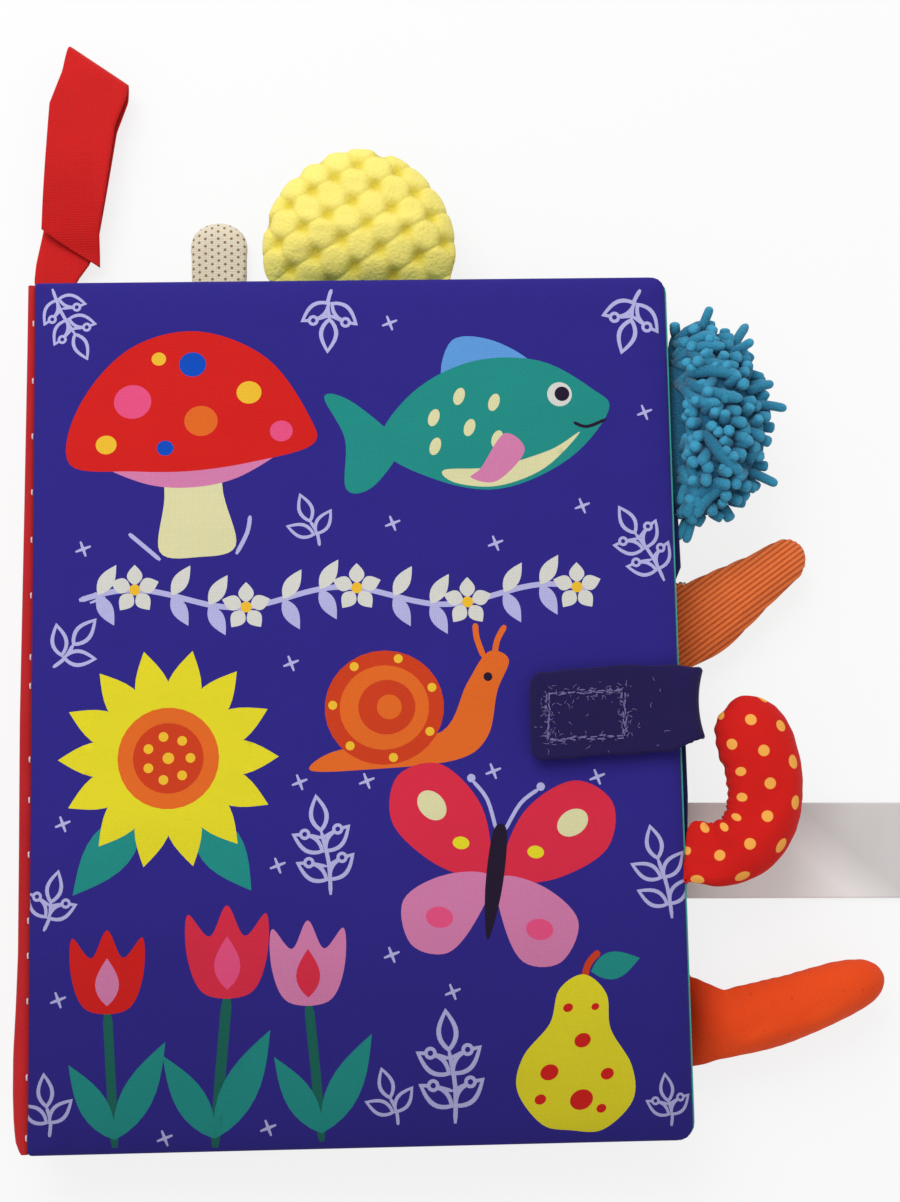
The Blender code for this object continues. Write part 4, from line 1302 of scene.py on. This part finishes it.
# The ball's front takes the pile's hollow colour all over: painted shade between the worms.
mark_painted_light(tail, np.zeros(len(corners)))
low = (leaf_centre(1) - 0.4) * MM
dome = [(v.co.copy(), v.normal.copy()) for v in corners if v.co.z > low and v.co.x > DOME_FROM]
walls = [tuple(face.vertices) for face in tail.data.polygons]
ball = BVHTree.FromPolygons([v.co.copy() for v in corners], walls)
finish_tail(tail, 1, "chenille_tail", (chenille, natural_cotton), ("chenille", "dotted_cotton"))
print("chenille ball stuffed")

# %% Chenille worms
rng = np.random.default_rng(11)
root = Vector((root_x * MM, root_y * MM, leaf_centre(1) * MM))
chosen = []
for index in rng.permutation(len(dome)):
    if all((dome[index][0] - other[0]).length > WORM_SPACING for other in chosen):
        chosen.append(dome[index])
worms, raised = [], []
for place, normal in chosen:
    out_x, out_y = (place.x - root.x) / CHENILLE_REACH, (place.y - root.y) / CHENILLE_HALF
    radius = float(rng.uniform(0.00145, 0.00175))
    shake = Vector([float(v) for v in rng.normal(0, 1, 3)])
    if math.hypot(out_x, out_y) > 0.86 and rng.uniform() < 0.18:
        outward = Vector((normal.x, normal.y, 0.12)).normalized()
        length, droop = float(rng.uniform(0.008, 0.0115)), shake.cross(outward) * 0.12
        points, faces = standing_worm(place, outward, shake * 0.22, length, LONG_WORM_RADIUS, droop)
    elif out_x < 0.5 and rng.uniform() < 0.3:
        turn = -0.95 + 1.5 * out_y + float(rng.normal(0, 0.35))
        way = Vector((math.cos(turn), math.sin(turn), 0))
        length, bend = float(rng.uniform(0.011, 0.016)), float(rng.uniform(-0.2, 0.2))
        points, faces = lying_worm(place - way * 0.005, way, length, radius, bend)
    else:
        lean = Vector((shake.x * 0.55 + 0.9 * max(0.3 - out_x, 0) / 0.3, shake.y * 0.55, 0))
        length = float(rng.uniform(0.0034, 0.0052))
        points, faces = standing_worm(place, normal, lean, length, radius, lean * 0.12)
    aside = Vector((max(0.0, max(cover_side(p.z) - p.x for p in points)), 0, 0))
    worms.append(([p + aside for p in points], faces))
    # Painted shade at each worm's root among the others, lighter towards its tip.
    raised += [0.1 + 0.95 * (i // WORM_SIDES) / len(WORM_GIRTHS) for i in range(len(points))]
pile_worms = join_shapes("chenille_worms", worms, chenille)
mark_painted_light(pile_worms, np.array(raised))
dress(pile_worms, "chenille_tail", "chenille")
print(len(chosen), "chenille worms")

# %% [markdown]
# ## Spine gusset
# One red cloth wraps round the spine and folds between the leaves. It is made as five folds, each from
# the middle of one leaf to the middle of the next, across one hinge, and each meets its neighbour at a
# leaf. Two lips lie over the covers' edges. It stands out most at the bottom of the book.

# %% Spine gusset
GUSSET_WALL = 0.8
spine_cotton = cloth("spine red cotton", ink(204, 42, 44), ink(170, 26, 34))


def gusset_row(y, low, high, lip_over, lip_under):
    """One row of (x, y, z) up the band at a height y, with a lip over the cover it ends at."""
    reach = gusset_reach(y)
    row = []
    if lip_under:
        row += [(0.25, low - 0.5), (-0.55 * reach, low - 0.95), (-0.9 * reach, low - 0.75)]
    for share in np.linspace(0, 1, 9):
        belly = 1.0 + 0.10 * math.cos(2 * math.pi * share)
        crease = 0.12 * math.sin(y / 6.0 + low) * math.sin(math.pi * share)
        row.append((-(reach * belly + crease), low + (high - low) * share))
    if lip_over:
        row += [(-0.9 * reach, high + 0.75), (-0.55 * reach, high + 0.95), (0.25, high + 0.5)]
    return [(x - PAGE_WIDTH / 2, y - PAGE_HEIGHT / 2, z) for x, z in row]


def cloth_strip(name, rows, material, wall):
    """A closed strip of cloth from rows of points in millimetres, its wall on the inner side."""
    rows = np.array(rows)
    count, width = rows.shape[:2]
    faces = []
    for row in range(count - 1):
        for column in range(width - 1):
            a = row * width + column
            faces.append((a, a + 1, a + width + 1, a + width))
    piece = make_piece(name, rows.reshape(-1, 3) * MM, faces, material)
    thick = piece.modifiers.new("cloth", "SOLIDIFY")
    thick.thickness = wall * MM
    thick.offset = -1
    apply_modifiers(piece)
    return piece


bodies = ["front_cover", "page_1", "page_2", "page_3", "page_4", "back_cover"]
gusset_y = np.concatenate([[0.4, 0.8, 1.2, 1.8, 2.5], np.linspace(3.5, PAGE_HEIGHT - 0.8, 77)])
for number in range(5):
    high, low = leaf_centre(number), leaf_centre(number + 1)
    rows = [gusset_row(y, low, high, number == 0, number == 4) for y in gusset_y]
    fold = cloth_strip(f"gusset_fold_{number + 1}", rows, spine_cotton, GUSSET_WALL)
    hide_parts(*[f"spine_gusset_{body}" for body in bodies[number : number + 1 + (number == 4)]])
    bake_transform(fold)
print("gusset folded")

# %% [markdown]
# ## Stitches
# Sewing thread shows as short raised dashes. One stitch is a bent tube of a few faces, and all the
# stitches of one seam are joined in one piece.

# %% Stitches
THREAD_SIDES = 6
STITCH_PITCH, STITCH_LENGTH = 14.0, 0.0016
LIP_OUT, LIP_RISE = 0.15, 0.62
STITCH_RISES = ((0, -1.0), (0.12, 0.8), (0.5, 1.0), (0.88, 0.8), (1, -1.0))


def thread(places, up, radius):
    """Points and faces of a short thread that follows the places, with closed pointed ends."""
    girths = [radius * 0.45, *[radius] * (len(places) - 2), radius * 0.45]
    return tube(places, [up] * len(places), girths, THREAD_SIDES)


def stitch(start, end, up, radius, rise):
    """One stitch: it comes up, lies flat and goes down again."""
    places = [start.lerp(end, share) + up * (rise * height) for share, height in STITCH_RISES]
    return thread(places, up, radius)


def thread_skin(name, light, dark):
    material, tree, shader = new_skin(name, 0.6, 0.5)
    twist = noise(tree, put(tree, "TexCoord").outputs["Object"], 2600.0, 2.0)
    colour_and_bump(tree, shader, mix_colours(tree, twist, dark, light), twist, 0.6, 0.0002)
    return material


pale_thread = thread_skin("pale sewing thread", ink(238, 226, 232), ink(196, 176, 196))
violet_thread = thread_skin("violet sewing thread", ink(142, 128, 186), ink(84, 68, 140))

rng = np.random.default_rng(3)
dashes = []
for y in np.arange(8.0, PAGE_HEIGHT - 8, STITCH_PITCH):
    y = y + rng.uniform(-5.0, 5.0)
    start_x, start_z = (-PAGE_WIDTH / 2 - LIP_OUT) * MM, (leaf_centre(0) + LIP_RISE) * MM
    start = Vector((start_x, (y - PAGE_HEIGHT / 2) * MM, start_z))
    end = start + Vector((0, STITCH_LENGTH, 0))
    dashes.append(stitch(start, end, Vector((-0.35, 0, 0.94)), 0.00024, 0.00022))
spine_stitches = join_shapes("spine_stitches", dashes, pale_thread)
dress(spine_stitches, "front_cover", "red_cotton")
print(len(dashes), "stitches along the spine")

# %% [markdown]
# ## Ribbons and straps
# A strap, a ribbon loop and a label are all flat strips with rounded edges, so one function makes
# them: it carries a thin cross-section along a route. Each row has its own middle, its two edges and
# the way that its face looks.

# %% Strip maker
def soft_strip(name, rows, thickness, material, columns=15):
    """A closed strip. Each row is (left edge, right edge, face direction), in millimetres."""
    half = thickness / 2
    spread = [-math.cos(math.pi * k / (columns - 1)) for k in range(columns)]
    points = []
    lengths = np.cumsum([0] + [math.dist(a[0] + a[1], b[0] + b[1]) / 2 for a, b in zip(rows, rows[1:])])
    for (left, right, up), run in zip(rows, lengths):
        left, right, up = Vector(left), Vector(right), Vector(up).normalized()
        wide = (right - left).length
        from_end = min(run, lengths[-1] - run)
        end_round = math.sqrt(1 - (1 - min(from_end / half, 1)) ** 2) * 0.9 + 0.1
        ring = []
        for share in spread:
            inset = (1 - abs(share)) * wide / 2
            high = half * end_round * math.sqrt(1 - (1 - min(inset / half, 1)) ** 2)
            ring.append((left.lerp(right, share / 2 + 0.5), high))
        points += [(place + up * high) * MM for place, high in ring]
        points += [(place - up * high) * MM for place, high in ring[-2:0:-1]]
    return join_shapes(name, [(points, capped_faces(len(rows), 2 * columns - 2))], material)


print("strip maker ready")

# %% [markdown]
# ### Closure strap
# A navy strap is sewn into the back cover's fore-edge, climbs past the pages, folds over the front
# cover and closes with hook and loop tape. Its free end is rounded, and the box of stitches that
# holds the tape shows through in pale violet. One strip makes it, and it bends at the fold.

# %% Strap
STRAP_WIDTH, STRAP_THICK = 23.8, 1.4
STRAP_LOW = STRAP_MIDDLE - STRAP_WIDTH / 2 - PAGE_HEIGHT / 2
STRAP_TIP_X, STRAP_WALL_X = 46.5, 93.4
TIP_RADIUS, GATHER, WOBBLE = 3.6, 4.0, 0.14

# places along the strap's middle, from its root up the fore-edge and over the cover
STRAP_PLACES = (
    (88.6, 2.3), (91.4, 2.4), (93.0, 4.2), (93.5, 9.0), (93.2, 15.0), (93.6, 21.0), (93.8, 25.5),
    (93.6, 28.6), (92.3, 31.0), (88.6, 32.2), (83.0, 32.0), (74.0, 32.2), (64.0, 32.4), (56.0, 32.3),
    (50.0, 32.6), (STRAP_TIP_X, 33.0),
)

strap_route = smooth_run(STRAP_PLACES, 8)
strap_rows = []
for index, (x, z) in enumerate(strap_route):
    ahead = way_at(strap_route, index)
    ahead = ahead / np.hypot(*ahead)
    from_tip = x - STRAP_TIP_X if z > 31 else 50.0
    corner = TIP_RADIUS - math.sqrt(max(TIP_RADIUS**2 - max(TIP_RADIUS - from_tip, 0) ** 2, 0))
    gather = GATHER * float(np.interp(x, (84.0, 93.0), (0, 1))) * float(np.interp(z, (2, 14), (0.9, 1)))
    wobble = WOBBLE * math.sin(index / 2.1)
    slant_low = float(np.interp(x, (46.5, 66, 84, 93), (-0.3, 0.9, 1.6, 1.2)))
    slant_high = float(np.interp(x, (46.5, 70, 85, 94), (-0.5, 1.3, 1.1, 0.3)))
    low = STRAP_LOW + corner + gather + wobble + slant_low
    high = STRAP_LOW + STRAP_WIDTH - corner - wobble + slant_high
    strap_rows.append(((x, low, z), (x, high, z), (-ahead[1], 0.0, ahead[0])))
strap = soft_strip("closure_strap", strap_rows, STRAP_THICK, navy_cotton, 31)
places = read_points(strap)
bent = np.clip((places[:, 0] - 0.0865) / 0.006, 0, 1) * np.clip((places[:, 2] - 0.016) / 0.012, 0, 1)
middle = 1 - ((places[:, 1] - (STRAP_LOW + 14.6) * MM) / 0.0095) ** 2
places[:, 0] -= 0.0016 * bent * np.clip(middle, -0.3, 1)
places[:, 2] += 0.0003 * np.sin(places[:, 1] / 0.0022) * np.clip((places[:, 2] - 0.030) / 0.002, 0, 1) * bent
write_points(strap, places)
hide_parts("strap_base", "strap_tab")
print("strap folded over", len(strap_rows), "rows")

# %% Strap stitches
STITCH_STEP, LOOSE_THREADS = 2.3, 190
THREAD_RADIUS, LOOSE_RADIUS = 0.00017, 0.00010
BOX = [(STRAP_TIP_X + x, y) for x, y in ((4.6, 5.0), (25.2, 5.8), (25.2, 17.8), (4.6, 17.4))]
BOX_SIDES = list(zip(BOX, BOX[1:] + BOX[:1]))
UP = Vector((0, 0, 1))

rng = np.random.default_rng(5)
route_line = np.array([p for p in strap_route if p[1] > 31.5 and p[0] < 88])[::-1]
stitches = []


def on_strap(x, y, over=0.0):
    """A place on the strap's upper face."""
    z = float(np.interp(x, route_line[:, 0], route_line[:, 1])) + STRAP_THICK / 2 + over
    return Vector((x * MM, (STRAP_LOW + y) * MM, z * MM))


for lap in range(2):
    for (x0, y0), (x1, y1) in BOX_SIDES:
        count = int(math.dist((x0, y0), (x1, y1)) / STITCH_STEP)
        for k in range(count):
            a, b = (k + 0.1) / count, (k + 0.88) / count
            shake = rng.uniform(-0.45, 0.45, 4) + 0.5 * lap
            start = on_strap(x0 + (x1 - x0) * a + shake[0], y0 + (y1 - y0) * a + shake[1])
            end = on_strap(x0 + (x1 - x0) * b + shake[2], y0 + (y1 - y0) * b + shake[3])
            stitches.append(stitch(start, end, UP, THREAD_RADIUS, 0.00018))
for k in range(LOOSE_THREADS):
    (x0, y0), (x1, y1) = BOX_SIDES[k % 4]
    share = rng.uniform(0, 1)
    x, y = x0 + (x1 - x0) * share + rng.normal(0, 1.1), y0 + (y1 - y0) * share + rng.normal(0, 1.1)
    if k % 8 == 0:
        x, y = rng.uniform(STRAP_TIP_X + 3, STRAP_TIP_X + 36), rng.uniform(2, 21.5)
    turn, length = rng.uniform(0, 2 * math.pi), rng.uniform(0.5, 1.7)
    middle = on_strap(x + 0.3 * length * math.cos(turn + 0.7), y + 0.3 * length * math.sin(turn + 0.7), 0.2)
    end = on_strap(x + length * math.cos(turn), y + length * math.sin(turn), 0.05)
    stitches.append(thread([on_strap(x, y, 0.02), middle, end], UP, LOOSE_RADIUS))
strap_stitches = join_shapes("strap_stitches", stitches, violet_thread)
for piece in (strap, strap_stitches):
    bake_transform(piece)
print("strap sewn with", len(stitches), "threads")

# %% Hook and loop tapes
hook_tape = pile("navy hook tape", ink(58, 48, 110), ink(20, 16, 44), grain=1600.0, strength=0.9)
TAPE_Y = STRAP_MIDDLE - PAGE_HEIGHT / 2
for name, node, body, z in (
    ("hook_tape", "strap_hook_patch", "strap_tab", 30.9),
    ("loop_tape", "cover_loop_patch", "front_cover", 29.8),
):
    rows = [((x, TAPE_Y - 7.5, z), (x, TAPE_Y + 7.5, z), UP) for x in [50.7 + 1.79 * k for k in range(13)]]
    tape = soft_strip(name, rows, 0.8, hook_tape)
    mark_painted_light(tape, np.full(len(tape.data.vertices), 0.5))
    dress(tape, body, "hook_tape", node)
print("hook and loop tapes laid")

# %% [markdown]
# ### Hanging loop
# A red ribbon is doubled and sewn into the top seam by the spine. It leans to the right, its fold
# slants, and its front end is turned under in a diagonal near the seam.

# %% Ribbon loop
red_ribbon = cloth("red ribbon", ink(222, 28, 27), ink(176, 8, 12), pitch=0.0007, roughness=0.7, sheen=0.05)

LOOP_MIDDLE = 5.55
# each edge of the ribbon, as places up the page and across it
LEFT_EDGE = (
    (SEAM_TOP, -90.6), (124.6, -92.0), (129.9, -91.6), (140.0, -89.8), (177.1, -87.4), (187.1, -83.8),
    (195.4, -82.4),
)
RIGHT_EDGE = (
    (SEAM_TOP, -78.0), (124.4, -79.8), (129.5, -76.4), (134.0, -74.4), (170.3, -68.6), (179.1, -65.2),
    (183.0, -64.8),
)
# the height at each share of the ribbon's reach, for its lower and its upper layer
UNDER_HEIGHTS = (
    (0.0, -0.6), (0.08, -0.75), (0.2, -1.6), (0.34, -2.6), (0.55, -3.0), (0.8, -2.9), (0.92, -2.3),
    (0.98, -1.3), (1.0, 0.0),
)
OVER_HEIGHTS = (
    (1.0, 0.0), (0.98, 1.3), (0.92, 2.3), (0.8, 2.8), (0.55, 2.9), (0.4, 2.2), (0.3, 1.0), (0.22, -0.2),
    (0.165, -0.5),
)


def ribbon_row(out, height, over):
    """Both edges of the ribbon at a share of its reach. The upper end is cut to a slant."""
    up_left, up_right = (SEAM_TOP + out * (edge[-1][0] - SEAM_TOP) for edge in (LEFT_EDGE, RIGHT_EDGE))
    left, right = float(np.interp(up_left, *zip(*LEFT_EDGE))), float(np.interp(up_right, *zip(*RIGHT_EDGE)))
    if over:
        right = max(right + 0.7 * min(2 - 2 * out, 1), -73.0)
        left += (right - left - 3.0) * float(np.interp(out, (0.165, 0.285), (1, 0)))
    return (left, up_left, LOOP_MIDDLE + height), (right, up_right, LOOP_MIDDLE + height)


under = [ribbon_row(out, height, False) for out, height in smooth_run(UNDER_HEIGHTS, 6)]
over = [ribbon_row(out, height, True) for out, height in smooth_run(OVER_HEIGHTS, 6)][1:]
rights = [Vector(right) for _, right in under + over]
ribbon_rows = []
for index, (left, right) in enumerate(under + over):
    ribbon_rows.append((left, right, (rights[index] - Vector(left)).cross(way_at(rights, index))))
loop = soft_strip("ribbon_loop", ribbon_rows, 0.9, red_ribbon)
dress(loop, "hang_loop", "red_ribbon", "hang_loop")
print("ribbon loop", len(ribbon_rows), "rows")

# %% [markdown]
# ### Satin label
# A soft satin label lies out from under the page edges. It is left bare. Satin is glossy along one
# way only, so its highlights run in soft bands, and painted light makes it lighter up to a slanting crease.

# %% Label
PAINTED_LIGHT_TURN = -0.85
LABEL_LENGTH, LABEL_STEPS = 68.0, 48
LABEL_LOW, LABEL_HIGH = -55.2, -28.4


def satin():
    material, tree, shader = new_skin("bare satin", 0.34, 0.5, 0.55)
    where = put(tree, "TexCoord").outputs["Object"]
    stretched = put(tree, "Mapping", {"Vector": where, "Scale": (60.0, 900.0, 60.0)}).outputs[0]
    tone = mix_colours(tree, noise(tree, where, 30.0, 2.0), ink(194, 189, 188), ink(232, 229, 228))
    slanted = put(tree, "Mapping", {"Vector": where, "Rotation": (0.0, 0.0, PAINTED_LIGHT_TURN)}).outputs[0]
    across = put(tree, "SeparateXYZ", {"Vector": slanted}).outputs["X"]
    # Painted light: near white on one side of a slanting line, which lifts the hook's shadow there.
    painted_lit = mix_colours(tree, ranged(tree, across, 0.060, 0.050), tone, ink(249, 246, 244))
    colour_and_bump(tree, shader, painted_lit, noise(tree, stretched, 1.0, 3.0), 0.25, 0.0002)
    return material


label_rows = []
for share in [k / LABEL_STEPS for k in range(LABEL_STEPS + 1)]:
    x, slope = SEAM_X + LABEL_LENGTH * share, -1.2 * share
    z = 2.3 - 1.0 * share * share * (3 - 2 * share) + 0.55 * math.sin(6.0 * share) * share
    low, high = 0.25 * math.sin(9 * share), 0.3 * math.sin(7 * share + 1.0)
    label_rows.append(((x, LABEL_LOW + slope, z + low), (x, LABEL_HIGH + slope, z + high), (0, 0, 1)))
label = soft_strip("satin_label", label_rows, 0.5, satin(), 21)
dress(label, "blank_label", "satin", "blank_label")
print("label laid")

# %% [markdown]
# ## Floor and hand-over
# The floor is plain and nearly white to the camera, and it keeps a soft shadow. Behind it the camera
# sees white too, while the light of the world stays as it is.

# %% White surroundings
tree = world.node_tree
backdrop = put(tree, "Background", {"Color": (1.0, 1.0, 1.0, 1.0), "Strength": 1.0})
seen = put(tree, "LightPath").outputs["Is Camera Ray"]
both = put(tree, "MixShader", {0: seen, 1: tree.nodes["Background"].outputs[0], 2: backdrop.outputs[0]})
tree.links.new(both.outputs[0], tree.nodes["World Output"].inputs["Surface"])
print("white behind the floor")

# %% Floor
FLOOR_SIZE, FLOOR_DROP = 6.0, 0.0002

bpy.ops.mesh.primitive_plane_add(size=FLOOR_SIZE, location=(0, 0, -FLOOR_DROP))
floor = bpy.context.object
floor.name = "studio_floor"
floor_skin = bpy.data.materials.new("white floor")
floor_skin.use_nodes = True
tree = floor_skin.node_tree
tree.nodes.remove(tree.nodes["Principled BSDF"])
diffuse = put(tree, "BsdfDiffuse", {"Color": (0.86, 0.86, 0.86, 1.0)})
glow = put(tree, "Emission", {"Color": (1.0, 1.0, 1.0, 1.0), "Strength": 1.0})
path = put(tree, "LightPath")
seen = math_node(tree, "MAXIMUM", path.outputs["Is Camera Ray"], path.outputs["Is Glossy Ray"])
seen = math_node(tree, "MAXIMUM", seen, path.outputs["Is Transmission Ray"])
blend_share = math_node(tree, "MULTIPLY", seen, 0.8)
mixed = put(tree, "MixShader", {0: blend_share, 1: diffuse.outputs[0], 2: glow.outputs[0]})
tree.links.new(mixed.outputs[0], tree.nodes["Material Output"].inputs["Surface"])
floor.data.materials.append(floor_skin)
print("floor", FLOOR_SIZE, "m wide")
